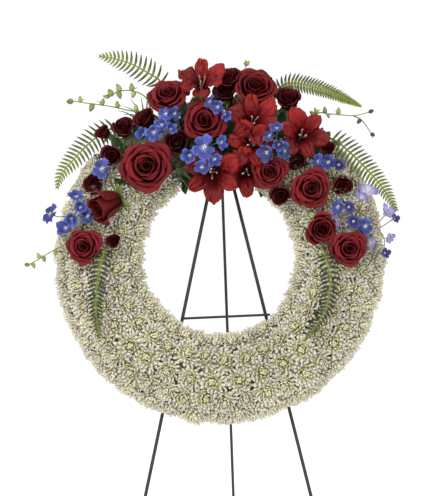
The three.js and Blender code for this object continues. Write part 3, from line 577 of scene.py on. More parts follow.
# %% A petal that wraps round its flower's axis
def petal(rows, material, columns=4, thickness=0.02, droop=0.0, point=0.0, ruffle=0.0, smoothing=1):
    """rows, foot to lip: radius, height and half-width in radians. droop lowers the lip's corners, point draws
    its middle out, and ruffle lifts every second column."""
    piece, row_of, column_of = sheet(len(rows), columns)
    for number, (radius, height, half_width) in enumerate(rows):
        level = 2 * number / (len(rows) - 1) - 1
        choose(piece, row_of == number)
        bpy.ops.transform.resize(value=(half_width, 1, 1), center_override=(0, 0, level))
        bpy.ops.transform.translate(value=(0, 1 - radius, height - level))
    lip = row_of == len(rows) - 1
    if droop:
        choose(piece, lip & (column_of % columns == 0))
        bpy.ops.transform.translate(value=(0, 0.35 * droop, -droop))
    if point:
        choose(piece, lip & (column_of == columns // 2))
        bpy.ops.transform.translate(value=(0, -point, 0.3 * point))
    if ruffle:
        choose(piece, (row_of >= len(rows) - 3) & (column_of % 2 == 1))
        bpy.ops.transform.translate(value=(0, 0.4 * ruffle, ruffle))
    bpy.ops.object.mode_set(mode="OBJECT")
    angle = 2 * max(half_width for _, _, half_width in rows)
    apply_modifier(piece, "SIMPLE_DEFORM", deform_method="BEND", deform_axis="Z", angle=angle)
    piece.data.transform(Matrix.Translation((0, -1, 0)))
    return thickened(piece, material, thickness, smoothing)


def turned(degrees, scale=1.0):
    return Matrix.Rotation(math.radians(degrees), 4, "Z") @ Matrix.Scale(scale, 4)


GOLDEN_ANGLE = 137.508
trial = petal([(0.1, 0, 0.5), (0.6, 0.3, 0.6), (1.0, 0.5, 0.5)], CRIMSON)
trial_reach = np.hypot(*coordinates(trial)[:, :2].T).max()
print("a trial petal reaches", round(trial_reach, 3), "of 1, with", len(trial.data.polygons), "faces")
discard(trial)

# %% [markdown]
# A rose is a spiral. The petals at the heart are nearly rolled shut and stand tall, and each later one opens
# wider, stands lower and curls its lip further out. The golden angle between one petal and the next keeps
# any two from lining up. An open rose has three dozen petals, a cupped one two dozen, a spray rose one dozen.

# %% Roses
def rose_head(name, count, material, seed, size_of, width=0.72, point=0.05):
    """size_of(share) gives a petal's foot and lip height, its throat and its reach, from heart (0) outwards (1)."""
    chances = random.Random(seed)
    petals = []
    for number in range(count):
        share = number / (count - 1)
        foot, top, throat, reach = size_of(share)
        reach *= chances.uniform(0.95, 1.05)
        top += chances.uniform(-0.03, 0.03)
        half_width = width + 0.95 * (1 - share) ** 1.5
        rise = top - foot
        rows = [
            (0.04 + 0.08 * share, foot, 0.9 * half_width),
            (0.06 + 0.62 * throat, foot + 0.16 * rise, 0.95 * half_width),
            (0.97 * throat, foot + 0.48 * rise, half_width),
            (throat, foot + 0.80 * rise, half_width),
            (0.55 * throat + 0.45 * reach, top, 0.86 * half_width),
            (reach, top - 0.45 * (reach - throat), 0.60 * half_width),
        ]
        piece = petal(rows, material, columns=4, thickness=0.018, droop=0.05 + 0.06 * share, point=point * share)
        wobble = Matrix.Rotation(math.radians(chances.uniform(-5, 5)), 4, "X")
        piece.data.transform(turned(number * GOLDEN_ANGLE + chances.uniform(-14, 14)) @ wobble)
        petals.append(tone(piece, share, chances.random()))
    return make_uneven(join(name, petals), amount=0.16, size=0.35)


def open_rose_size(share):
    throat = 0.04 + 0.74 * share
    top = 0.70 + 0.10 * math.sin(math.pi * min(1.0, 1.3 * share)) - 0.28 * share ** 2
    return -0.06 - 0.22 * share, top, throat, throat + 0.03 + 0.22 * max(0.0, share - 0.3) / 0.7


def cupped_rose_size(share):
    throat = 0.05 + 0.72 * share ** 0.85
    return -0.06 - 0.30 * share, 0.84 - 0.20 * share ** 2, throat, throat + 0.02 + 0.22 * max(0.0, share - 0.4) / 0.6


def bud_rose_size(share):
    throat = 0.07 + 0.58 * share ** 0.7
    return -0.45, 0.98 - 0.18 * share ** 2, throat, throat + 0.02 + 0.16 * max(0.0, share - 0.5) / 0.5


def spray_rose_size(share):
    throat = 0.06 + 0.72 * share ** 0.8
    return -0.52, 0.62 - 0.14 * share ** 2, throat, throat + 0.02 + 0.22 * max(0.0, share - 0.5) / 0.5


OPEN_ROSE = rose_head("open_rose", 34, CRIMSON, 3, open_rose_size, point=0.08)
CUPPED_ROSE = rose_head("cupped_rose", 24, CRIMSON, 8, cupped_rose_size, width=0.8, point=0.06)
BUD_ROSE = rose_head("bud_rose", 11, CRIMSON, 12, bud_rose_size, width=0.95, point=0.1)
SPRAY_ROSE = rose_head("spray_rose", 13, MAROON, 5, spray_rose_size, width=0.85)
print("rose faces:", [len(model.data.polygons) for model in (OPEN_ROSE, CUPPED_ROSE, BUD_ROSE, SPRAY_ROSE)])

# %% [markdown]
# Under each rose are five narrow sepals, bent back. They show from the sides and from behind.

# %% Sepals
sepal = petal(
    [(0.06, -0.34, 0.5), (0.3, -0.30, 0.6), (0.5, -0.28, 0.38), (0.66, -0.34, 0.16), (0.74, -0.42, 0.04)],
    GREEN_STEM, columns=2, thickness=0.02, smoothing=0,
)
CALYX = join("calyx", [copy_of(sepal, turned(72 * number), 0.5, jitter(number)) for number in range(5)])
discard(sepal)
print("calyx faces:", len(CALYX.data.polygons))

# %% [markdown]
# Stems are curves with a round bevel, made into a mesh. The points between two given places come from the
# same smooth curve that the frame's own stems follow.

# %% Stems
def smooth_line(points, steps=6):
    """Points along a smooth curve that passes through all the given ones."""
    ends = [2 * points[0] - points[1], *points, 2 * points[-1] - points[-2]]
    line = []
    for number in range(1, len(ends) - 2):
        before, start, end, after = ends[number - 1:number + 3]
        for step in range(steps):
            t = step / steps
            line.append(0.5 * (
                2 * start + (end - before) * t + (2 * before - 5 * start + 4 * end - after) * t ** 2
                + (3 * start - before - 3 * end + after) * t ** 3
            ))
    return [*line, points[-1]]


def stem(points, radius, material, tip=1.0, sides=2):
    """A round stem along a list of points, its radius changing to tip times itself."""
    curve = bpy.data.curves.new("stem", "CURVE")
    curve.dimensions = "3D"
    curve.bevel_depth = radius
    curve.bevel_resolution = sides
    curve.use_fill_caps = True
    spline = curve.splines.new("POLY")
    spline.points.add(len(points) - 1)
    for number, place in enumerate(points):
        spline.points[number].co = (*place, 1)
        spline.points[number].radius = 1 + (tip - 1) * number / max(1, len(points) - 1)
    piece = bpy.data.objects.new("stem", curve)
    bpy.context.scene.collection.objects.link(piece)
    select_only(piece)
    bpy.ops.object.convert(target="MESH")
    piece = bpy.context.object
    heights = coordinates(piece)[:, 2]
    spread = max(1e-6, heights.max() - heights.min())
    set_growth(piece, (heights - heights.min()) / spread, np.full(len(heights), 0.5))
    tone(piece, 0.5, jitter(len(points) + points[0].x))
    piece.data.materials.clear()
    return finished(piece, material)


LARGE_STEM, FORK_STEM, SPRAY_STEM, DELPHINIUM_STEM, STALK = 3.2, 2.8, 2.2, 1.5, 0.9  # radii
print("a stem of three points becomes", len(smooth_line([Vector((0, 0, n)) for n in range(3)])), "points")

# %% [markdown]
# The table holds each large rose's place as it is seen (x, y and height in the ring's plane), its diameter, the
# root where its stem goes into the foam, and a turn about its own axis in degrees.

# %% Large roses on the wreath
LARGE_ROSES = [
    ((-107, 329, 100), 83, (-84, 254), 10), ((-33, 279, 122), 84, (-28, 250), 0),
    ((69, 340, 100), 94, (55, 262), 30), ((-148, 188, 120), 103, (-141, 181), 50),
    ((98, 176, 118), 69, (100, 190), 20), ((182, 142, 118), 79, (172, 150), 65),
    ((-225, 111, 118), 88, (-214, 118), 0), ((-273, 26, 114), 72, (-240, 30), 40),
    ((202, 59, 112), 64, (204, 66), 0), ((256, 21, 118), 71, (240, 25), 25),
]
CUPPED = (3, 9)
TURNED_AWAY = {7: Vector((-0.66, -0.42, 0.62))}  # a half-open bud, seen from its side
FRONT_TURN = 0.4


def facing_front(place, size, wanted=None):
    """Turns a bloom part of the way from its stem's direction to the front, about the middle of its lip."""
    axis = (place.to_3x3() @ FORWARD).normalized()
    level = 0.15 if wanted else 0.6
    wanted = wanted or (axis * (1 - FRONT_TURN) + Vector((0, 0, FRONT_TURN))).normalized()
    pivot = place @ Vector((0, 0, level * size))
    turn = axis.rotation_difference(wanted).to_matrix().to_4x4()
    return Matrix.Translation(pivot) @ turn @ Matrix.Translation(-pivot) @ place


for number, (at, diameter, root, turn) in enumerate(LARGE_ROSES, start=1):
    size = diameter / 2
    place = standing(seen(*root), seen(*at), 0.5 * size)
    head = BUD_ROSE if number in TURNED_AWAY else CUPPED_ROSE if number in CUPPED else OPEN_ROSE
    bloom = facing_front(place, size, TURNED_AWAY.get(number)) @ turned(turn + 40 * jitter(number), 1.06 * size)
    stalk = stem([seen(*root), bloom @ Vector((0, 0, -0.3))], LARGE_STEM, GREEN_STEM)
    pieces = [copy_of(head, bloom), copy_of(CALYX, bloom), stalk]
    place_on_wreath(join("rose", pieces), f"large_rose_{number}")
print("large roses:", len(LARGE_ROSES))

# %% [markdown]
# Spray roses are smaller, darker and share a stem: each spray has a root in the foam, a fork, and one to three
# heads with their diameters. The whole spray becomes one piece.

# %% Spray roses on the wreath
ROSE_SPRAYS = [
    ((-184, 196), (-196, 212, 58), [(-196, 260, 90, 44), (-236, 252, 82, 30), (-216, 208, 92, 42)]),
    ((-88, 216), (-94, 226, 62), [(-88, 234, 100, 48), (-150, 280, 100, 44)]),
    ((-226, 140), None, [(-252, 152, 92, 40)]),
    ((24, 260), None, [(16, 358, 90, 48), (10, 333, 86, 46)]),
    ((118, 242), None, [(133, 316, 92, 48)]),
    ((198, 172), (200, 178, 60), [(156, 194, 98, 40), (238, 148, 94, 40), (212, 216, 88, 30)]),
    ((132, 152), None, [(120, 128, 98, 40)]),
    ((-210, 46), None, [(-214, 38, 112, 28)]),
]
SEPAL_SHIFT = -0.24  # a spray rose's calyx sits lower on its cup

for number, (root, fork, heads) in enumerate(ROSE_SPRAYS, start=1):
    base = seen(*root)
    pieces = []
    if fork:
        pieces.append(stem([base, seen(*fork)], FORK_STEM, GREEN_STEM))
        base = seen(*fork)
    for order, (x, y, z, diameter) in enumerate(heads):
        size = diameter / 2
        place = standing(base, seen(x, y, z), 0.2 * size)
        bloom = facing_front(place, size) @ turned(72 * jitter(10 * number + order), 1.2 * size)
        pieces.append(copy_of(SPRAY_ROSE, bloom))
        pieces.append(copy_of(CALYX, bloom @ Matrix.Translation((0, 0, SEPAL_SHIFT))))
        pieces.append(stem([base, bloom @ Vector((0, 0, SEPAL_SHIFT - 0.2))], SPRAY_STEM, GREEN_STEM))
    place_on_wreath(join("spray", pieces), f"spray_roses_{number}")
print("rose sprays:", len(ROSE_SPRAYS))

# %% [markdown]
# A gladiolus flower is a trumpet with six ruffled petals, three in front of three, and a dark throat that
# holds pale stamens. The ruffle is every second column of the outer rows, lifted.

# %% Gladioli
outer = petal(
    [(0.10, 0.0, 0.52), (0.2, 0.3, 0.56), (0.38, 0.56, 0.66), (0.68, 0.76, 0.66), (0.98, 0.86, 0.44),
     (1.16, 0.82, 0.13)],
    SCARLET, columns=6, thickness=0.018, droop=0.04, point=0.12, ruffle=0.18,
)
inner = petal(
    [(0.08, 0.02, 0.5), (0.17, 0.32, 0.54), (0.32, 0.64, 0.60), (0.56, 0.86, 0.60), (0.84, 1.0, 0.42),
     (1.04, 1.0, 0.12)],
    SCARLET, columns=6, thickness=0.018, droop=0.03, point=0.10, ruffle=0.18,
)
filament = stem([Vector((0, 0, 0.05)), Vector((0.05, 0, 0.5)), Vector((0.14, 0, 0.82))], 0.022, STAMEN, tip=0.7)
anther = stem([Vector((0.11, 0, 0.78)), Vector((0.17, 0, 0.92))], 0.035, STAMEN, tip=0.6)
pieces = [copy_of(outer, turned(120 * n), 0.8, jitter(n)) for n in range(3)]
pieces += [copy_of(inner, turned(120 * n + 60), 0.5, jitter(n + 5)) for n in range(3)]
pieces += [copy_of(part, turned(120 * n + 20), 0.9, 0.5) for n in range(3) for part in (filament, anther)]
GLADIOLUS = make_uneven(join("gladiolus_head", pieces), amount=0.55, size=0.3)
discard(outer, inner, filament, anther)

GLADIOLI = [
    ((-40, 361, 92), 82, (-34, 266), 0), ((-16, 168, 112), 92, (-14, 208), 0),
    ((68, 281, 118), 86, (42, 240), 10), ((60, 232, 122), 78, (64, 214), 80),
    ((164, 250, 104), 84, (140, 226), 75), ((50, 170, 100), 82, (48, 198), 60),
]
for number, (at, diameter, root, turn) in enumerate(GLADIOLI, start=1):
    size = diameter / 2
    place = standing(seen(*root), seen(*at), 0.9 * size)
    bloom = facing_front(place, size) @ turned(turn, 1.12 * size)
    pieces = [copy_of(GLADIOLUS, bloom), stem([seen(*root), bloom.translation], LARGE_STEM, GREEN_STEM)]
    place_on_wreath(join("gladiolus", pieces), f"gladiolus_{number}")
print("gladioli:", len(GLADIOLI), "with", len(GLADIOLUS.data.polygons), "faces each")

# %% [markdown]
# A delphinium floret has five broad petals, four small white ones at its centre, and a thin spur behind.
# The models differ in how far they are open, and in colour: cornflower blue, lilac and indigo. Buds are small
# pointed eggs, a sphere drawn out at its tip.

# %% Delphinium florets and buds
def floret(name, material, cup):
    """cup is how far the petals' lips are lifted, for a floret that is less open."""
    broad = petal(
        [(0.05, 0.02, 0.64), (0.30, 0.02, 0.72), (0.62 - 0.3 * cup, 0.08 + 0.5 * cup, 0.78),
         (0.88 - 0.35 * cup, 0.12 + 0.75 * cup, 0.66), (1.02 - 0.3 * cup, 0.10 + 0.8 * cup, 0.28)],
        material, columns=4, thickness=0.03, droop=0.03, point=0.09, ruffle=0.10,
    )
    small = petal(
        [(0.02, 0.08, 0.5), (0.12, 0.18, 0.6), (0.22, 0.22, 0.3)], EYE, columns=2, thickness=0.03, smoothing=0,
    )
    spur = stem([Vector((0, 0, 0.04)), Vector((0, 0.06, -0.25)), Vector((0, 0.2, -0.5))], 0.09, material, tip=0.3)
    pieces = []
    for n in range(5):
        place = turned(72 * n + 30 * jitter(n + cup), 0.8 + 0.36 * jitter(n + 2 + cup))
        pieces.append(copy_of(broad, place, 0.6, jitter(n)))
    pieces += [copy_of(small, turned(90 * n + 10, 0.8), 0.8, jitter(n)) for n in range(4)]
    pieces.append(spur)
    whole = make_uneven(join(name, pieces), amount=0.36, size=0.34)
    discard(broad, small)
    return whole


def bud(name, material):
    bpy.ops.mesh.primitive_uv_sphere_add(segments=8, ring_count=6, radius=1)
    piece = bpy.context.object
    z = coordinates(piece)[:, 2]
    set_growth(piece, (z + 1) / 2, np.full(len(z), 0.3))
    bpy.ops.object.mode_set(mode="EDIT")
    choose(piece, z > 0.9)
    bpy.ops.transform.translate(value=(0, 0, 0.18))
    choose(piece, z > 0.4)
    bpy.ops.transform.resize(value=(0.8, 0.8, 1), center_override=(0, 0, 0))
    bpy.ops.object.mode_set(mode="OBJECT")
    piece.name = name
    return finished(piece, material)


BLUE_FLORETS = [floret("blue_floret", CORNFLOWER, cup) for cup in (0.0, 0.35, 0.7)]
LILAC_FLORETS = [floret("lilac_floret", LILAC, cup) for cup in (0.1, 0.6)] + [floret("indigo_floret", INDIGO, 0.5)]
BUD_MODELS = {"green": bud("green_bud", GREEN_BUD), "purple": bud("purple_bud", PURPLE_BUD)}
print("floret faces:", len(BLUE_FLORETS[0].data.polygons))

# %% [markdown]
# Each spray is a table entry: its root, the lines of its stems, then its florets and buds with their sizes, all
# as they are seen in the ring's plane. Needle leaves fill the gaps beside two of the sprays.

# %% The table of delphinium sprays
DELPHINIUMS = {
    "upper_left": {
        "root": (-106, 246),
        "stems": [
            [(-112, 262, 80), (-113, 270, 110)],
            [(-111, 258, 76), (-140, 292, 88), (-179, 297, 92), (-224, 307, 92), (-273, 314, 92), (-300, 318, 90)],
            [(-140, 292, 88), (-152, 324, 88), (-180, 338, 88), (-207, 336, 88), (-226, 325, 88)],
        ],
        "florets": [(-112, 292, 122, 32), (-134, 258, 120, 36), (-102, 262, 124, 28), (-92, 294, 116, 26),
                    (-118, 272, 126, 28), (-153, 250, 112, 32)],
        "buds": [(-302, 317, 90, 18), (-284, 325, 92, 14), (-263, 298, 92, 18), (-244, 330, 92, 13),
                 (-238, 318, 94, 15), (-221, 331, 88, 19), (-206, 343, 88, 18), (-204, 326, 90, 17),
                 (-209, 313, 94, 15), (-180, 343, 88, 17), (-178, 325, 88, 16), (-171, 310, 92, 15)],
        "leaves": [((-168, 290, 84), (-196, 306, 88)), ((-164, 292, 82), (-184, 322, 84)),
                   ((-156, 292, 80), (-162, 326, 80)), ((-162, 284, 86), (-198, 290, 90)),
                   ((-150, 296, 80), (-148, 330, 80)), ((-176, 284, 84), (-208, 298, 90))],
    },
    "middle": {
        "root": (-26, 222),
        "stems": [[(-28, 222, 80), (-28, 226, 118), (-28, 230, 144)]],
        "leaves": [((-84, 166, 88), (-62, 134, 92)), ((-80, 172, 88), (-50, 146, 94)),
                   ((-90, 168, 84), (-78, 134, 88)), ((-82, 176, 90), (-58, 158, 98))],
        "florets": [(-32, 228, 154, 46), (0, 238, 150, 32), (-60, 212, 148, 34), (-36, 190, 150, 32),
                    (-12, 206, 154, 32)],
    },
    "top": {
        "root": (8, 258),
        "stems": [[(8, 296, 76), (7, 316, 120), (2, 314, 138)], [(8, 296, 76), (36, 360, 66), (50, 386, 70)]],
        "buds": [(47, 398, 70, 11), (55, 396, 70, 11), (43, 391, 70, 9)],
        "florets": [(-20, 320, 144, 26), (-4, 310, 146, 28), (8, 296, 146, 26)],
    },
    "centre_right": {
        "root": (108, 214),
        "stems": [[(110, 222, 80), (111, 232, 116), (111, 236, 136)]],
        "florets": [(100, 250, 146, 28), (96, 218, 148, 38), (118, 234, 148, 28), (130, 220, 146, 30),
                    (114, 264, 142, 28)],
        "buds": [(134, 158, 142, 9), (140, 206, 142, 9)],
    },
    "buds_right": {
        "root": (170, 216),
        "stems": [
            [(186, 283, 64), (218, 287, 74), (262, 284, 80), (294, 291, 82)],
            [(262, 284, 80), (280, 274, 82), (298, 248, 84)],
        ],
        "buds": [(165, 300, 68, 15), (182, 303, 68, 14), (205, 298, 72, 14), (233, 299, 76, 15), (213, 277, 70, 11),
                 (297, 292, 82, 13), (271, 269, 82, 13), (300, 246, 84, 13)],
        "purple_from": 260,
    },
    "right": {
        "root": (188, 190),
        "stems": [[(200, 194, 80), (212, 194, 100)]],
        "florets": [(196, 196, 116, 28), (216, 194, 118, 32), (234, 188, 112, 30)],
        "lilac": (2,),
    },
    "left": {
        "root": (-214, 164),
        "stems": [[(-226, 174, 80), (-236, 180, 100)]],
        "florets": [(-238, 182, 112, 38)],
    },
    "lower_left": {
        "root": (-250, 76),
        "stems": [
            [(-272, 84, 78), (-300, 86, 92), (-326, 84, 92)],
            [(-272, 84, 78), (-290, 44, 90), (-340, 14, 92), (-384, -12, 90)],
        ],
        "florets": [(-340, 90, 100, 38), (-290, 124, 104, 32), (-282, 104, 110, 30), (-266, 86, 116, 30),
                    (-308, 62, 106, 38), (-300, 82, 108, 32)],
        "buds": [(-386, -12, 90, 13), (-366, 10, 91, 13), (-351, -8, 91, 13), (-369, -26, 91, 13),
                 (-330, 6, 91, 13), (-310, 34, 91, 13)],
    },
    "lower_right": {
        "root": (238, 92),
        "stems": [[(262, 98, 80), (296, 76, 94), (322, 40, 92), (320, 10, 90)]],
        "florets": [(290, 134, 104, 36), (276, 118, 108, 28), (254, 104, 116, 28), (234, 104, 118, 28),
                    (232, 80, 118, 26), (264, 76, 116, 32), (288, 66, 112, 32), (326, 86, 100, 36),
                    (342, 78, 98, 24), (298, 30, 104, 28), (330, 40, 98, 24), (322, 10, 92, 26)],
        "lilac": (0, 1, 2, 4, 5, 7, 8, 9, 10, 11),
    },
}
print("delphinium sprays in the table:", len(DELPHINIUMS))

# %% [markdown]
# One function dresses any of the sprays. A floret's own little stalk starts at the nearest point of a stem, so
# nothing hangs in the air however a place is changed.

# %% The delphinium sprays
NEEDLE_RADIUS = 1.7
NEEDLE_ARCH = Vector((0, 2, 4))


def vary(piece, chance):
    """Mixes one chance for the whole flower into the chances of its petals."""
    values = np.empty(len(piece.data.vertices))
    piece.data.attributes["chance"].data.foreach_get("value", values)
    piece.data.attributes["chance"].data.foreach_set("value", 0.4 * values + 0.6 * chance)


def nearest(points, place):
    return min(points, key=lambda point: (point - place).length)


def dress_delphinium(name, spec):
    pieces = []
    line = []
    for number, places in enumerate(spec["stems"]):
        points = [seen(*place) for place in places]
        if number == 0:  # the others fork off from this one
            points.insert(0, seen(*spec["root"]))
        smooth = smooth_line(points)
        pieces.append(stem(smooth, DELPHINIUM_STEM, GREEN_STEM, tip=0.6))
        line += smooth[3:]
    for number, (x, y, z, diameter) in enumerate(spec.get("florets", [])):
        size = diameter / 2
        middle = seen(x, y, z)
        start = nearest(line, middle)
        away = (middle - start).normalized()
        lean = Vector((jitter(number + x) - 0.5, jitter(number + y) - 0.5, 0.62)) + 0.45 * away
        lean.normalize()
        setting = Matrix.Translation(middle) @ pointing(lean)
        models = LILAC_FLORETS if number in spec.get("lilac", ()) else BLUE_FLORETS
        model = models[number % len(models)]
        flower = copy_of(model, setting @ turned(114 * jitter(number + 3), 1.12 * size))
        vary(flower, jitter(number + x))
        pieces += [flower, stem([start, middle - 0.2 * size * lean], STALK, GREEN_STEM, sides=1)]
    for number, (x, y, z, length) in enumerate(spec.get("buds", [])):
        tip = seen(x, y, z)
        start = nearest(line, tip)
        way = tip - start
        way.z = 3
        way.normalize()
        middle = start + 0.4 * length * way
        turn = pointing(way)
        stretch = Matrix.Diagonal((0.34 * length, 0.34 * length, 0.50 * length, 1))
        model = BUD_MODELS["purple" if tip.x > spec.get("purple_from", 1000) else "green"]
        pieces.append(copy_of(model, Matrix.Translation(middle) @ turn @ stretch, 0.5, jitter(number)))
        pieces.append(stem([start, middle], STALK, GREEN_STEM, sides=1))
        side = turn @ Vector((math.cos(7 * number), math.sin(7 * number), -0.4))
        spur = [
            middle - 0.2 * length * way, middle + 0.35 * length * side,
            middle + length * (0.7 * side + 0.2 * way),
        ]
        pieces.append(stem(smooth_line(spur, 3), 0.11 * length, model.data.materials[0], tip=0.3, sides=1))
    for leaf in spec.get("leaves", []):
        foot, tip = (seen(*place) for place in leaf)
        needle = smooth_line([foot, (foot + tip) / 2 + NEEDLE_ARCH, tip], 3)
        pieces.append(stem(needle, NEEDLE_RADIUS, DARK_LEAF, tip=0.2, sides=1))
    piece = join("delphinium", pieces)
    return place_on_wreath(piece, "delphinium_" + name)


for name, spec in DELPHINIUMS.items():
    dress_delphinium(name, spec)
print("delphinium sprays:", len(DELPHINIUMS))

# %% [markdown]
# A blade is a thin flat leaf: a grid whose rows are given their widths, folded a little along its midrib,
# arched with a bend, and thickened. Fern leaflets and the broad bed leaves are both blades.

# %% A blade
def blade(widths, fold, arch, material, thickness, columns=2, smoothing=0, sweep=0.0):
    """A leaf of length 1 along z, as wide as widths say from foot to tip, its tip swept sideways."""
    piece, row_of, column_of = sheet(len(widths), columns)
    for number, width in enumerate(widths):
        share = number / (len(widths) - 1)
        level = 2 * number / (len(widths) - 1) - 1
        choose(piece, row_of == number)
        bpy.ops.transform.resize(value=(width, 1, 1), center_override=(0, 0, level))
        bpy.ops.transform.translate(value=(sweep * share ** 2, 0, share - level))
    choose(piece, column_of == columns // 2)
    bpy.ops.transform.translate(value=(0, fold, 0))
    bpy.ops.object.mode_set(mode="OBJECT")
    apply_modifier(piece, "SIMPLE_DEFORM", deform_method="BEND", deform_axis="X", angle=arch)
    return thickened(piece, material, thickness, smoothing)


def lying_at(place, out, face):
    """The place of a blade that runs along out, with its upper side towards face."""
    normal = (face - out * out.dot(face)).normalized()
    return Matrix.Translation(place) @ Matrix((out.cross(normal), normal, out)).transposed().to_4x4()


LEAFLETS = {
    (material, side): blade([0.05, 0.078, 0.072, 0.055, 0.018], 0.014, 0.5, material, 0.03, sweep=-0.15 * side)
    for material in (FERN_GREEN, FERN_DARK) for side in (-1, 1)
}
BROAD_LEAF = blade([0.03, 0.16, 0.24, 0.25, 0.17, 0.02], 0.05, 0.7, DARK_LEAF, 0.02, columns=4, smoothing=1)
print("leaflets:", len(LEAFLETS), "leaf faces:", len(BROAD_LEAF.data.polygons))

# %% [markdown]
# A fern frond is a rib with a leaflet on each side every few millimetres, longest near its foot and shortest
# at its tip, each curved forward. The two that hang down over the ring are darker.

# %% Fern fronds
FERNS = [  # places along the rib, leaflet length, bare share of the rib, leaflet spacing
    ([(-122, 240, 34), (-104, 312, 60), (-122, 354, 76), (-146, 372, 80), (-179, 391, 86), (-212, 402, 84),
      (-246, 408, 80)], 29, 0.44, 8.4),
    ([(-170, 212, 34), (-192, 262, 46), (-222, 258, 56), (-254, 240, 68), (-286, 210, 80), (-320, 170, 84),
      (-329, 141, 82)], 28, 0.3, 8.2),
    ([(92, 250, 34), (104, 320, 62), (132, 350, 76), (188, 342, 84), (240, 321, 84), (277, 303, 80)], 20, 0.34, 5.2),
    ([(186, 198, 34), (203, 234, 50), (225, 233, 64), (256, 209, 76), (288, 177, 82), (321, 138, 84),
      (347, 94, 82)], 27, 0.22, 7.4),
    ([(-214, 22, 34), (-224, 30, 88), (-236, 6, 122), (-244, -30, 126), (-248, -70, 120), (-248, -110, 114),
      (-242, -156, 106)], 21, 0.30, 7.6),
    ([(200, 16, 34), (203, 22, 88), (210, 0, 122), (217, -28, 126), (216, -66, 122), (204, -108, 116),
      (166, -162, 108)], 21, 0.30, 7.6),
]
HANGING = (5, 6)
SWEEP = 0.14
RIB_RADIUS = 2.3
LEAFLET_WIDTH = 32


def leaflet_share(t):
    """A leaflet's length at t along the leafy part of the rib, as a share of the longest."""
    return min(1.0, 0.86 + 0.9 * t) * (1 - 0.88 * t ** 2.6)


def dress_fern(number, places, length, bare, spacing):
    line = smooth_line([seen(*place) for place in places], 24)
    steps = np.array([(b - a).length for a, b in zip(line, line[1:])])
    reached = np.concatenate([[0], np.cumsum(steps)])
    total = reached[-1]
    pieces = [stem(line[::4] + [line[-1]], RIB_RADIUS, FERN_RIB, tip=0.4)]
    count = int(total * (1 - bare) / spacing)
    material = FERN_DARK if number in HANGING else FERN_GREEN
    for order in range(count):
        share = (order + 0.5) / count
        t = share * (1.28 - 0.28 * share)  # closer together towards the tip
        target = total * (bare + (1 - bare) * t)
        index = min(int(np.searchsorted(reached, target)), len(line) - 2)
        place = line[index - 1].lerp(line[index], (target - reached[index - 1]) / steps[index - 1])
        along = (line[index + 1] - line[index - 1]).normalized()
        face = (FORWARD - along * along.z).normalized()
        across = along.cross(face)
        for side in (-1, 1):
            out = (side * across + SWEEP * along - 0.12 * face).normalized()
            reach = length * leaflet_share(t) * (0.95 + 0.1 * jitter(order + 7 * side))
            matrix = lying_at(place, out, face) @ Matrix.Diagonal((LEAFLET_WIDTH, reach, reach, 1))
            pieces.append(copy_of(LEAFLETS[material, side], matrix, 1 - 0.8 * t ** 1.6, jitter(order + side)))
    return place_on_wreath(join("fern", pieces), f"fern_frond_{number}")


for number, spec in enumerate(FERNS, start=1):
    dress_fern(number, *spec)
print("fern fronds:", len(FERNS))

# %% [markdown]
# The ring's cover is of chrysanthemums, whose petals are narrow channels. Each starts as a four-sided bar, which
# is extruded upwards in two steps, opened into a channel and curled inwards with a bend.

# %% A chrysanthemum petal
def coordinates_of_edit(piece):
    mesh = bmesh.from_edit_mesh(piece.data)
    return np.array([vertex.co[:] for vertex in mesh.verts])


def strap_petal(curl, material):
    """A petal of length 1 along z, channelled towards +y and curled that way."""
    bpy.ops.mesh.primitive_cylinder_add(vertices=4, radius=1, depth=0.4, end_fill_type="NGON", location=(0, 0, 0.2))
    piece = bpy.context.object
    bpy.ops.object.transform_apply(location=True, rotation=True, scale=True)
    bpy.ops.object.mode_set(mode="EDIT")
    bpy.ops.mesh.select_all(action="SELECT")
    bpy.ops.transform.resize(value=(0.105, 0.035, 1), center_override=(0, 0, 0))
    choose(piece, coordinates_of_edit(piece)[:, 2] < 0.1)
    bpy.ops.transform.resize(value=(0.5, 1, 1), center_override=(0, 0, 0))
    choose(piece, coordinates_of_edit(piece)[:, 2] > 0.3)
    for rise, widen in ((0.40, 1.15), (0.20, 0.62)):
        bpy.ops.mesh.extrude_region_move(TRANSFORM_OT_translate={"value": (0, 0, rise)})
        bpy.ops.transform.resize(value=(widen, 1, 1), center_override=(0, 0, 0))
    _, y, z = coordinates_of_edit(piece).T
    choose(piece, (y > 0.02) & (z > 0.1) & (z < 0.9))
    bpy.ops.transform.translate(value=(0, -0.028, 0))
    bpy.ops.object.mode_set(mode="OBJECT")
    flat = coordinates(piece)
    set_growth(piece, flat[:, 2], 0.5 + 5 * flat[:, 0])
    apply_modifier(piece, "SIMPLE_DEFORM", deform_method="BEND", deform_axis="X", angle=curl)
    return finished(piece, material)


STRAPS = [strap_petal(curl, WHITE_PETAL) for curl in (1.0, 0.8, 0.6, 0.4)]
CENTRE_PETAL = strap_petal(1.5, YELLOW_CENTRE)
print("chrysanthemum petal faces:", len(STRAPS[0].data.polygons))

# %% [markdown]
# A head is a dome of nearly ninety such petals over a pale core. Those at the heart are short and green, the
# outer ones are long, white and hang down a little.

# %% A chrysanthemum head
OUTER_PETALS = 74
CENTRE_PETALS = 13


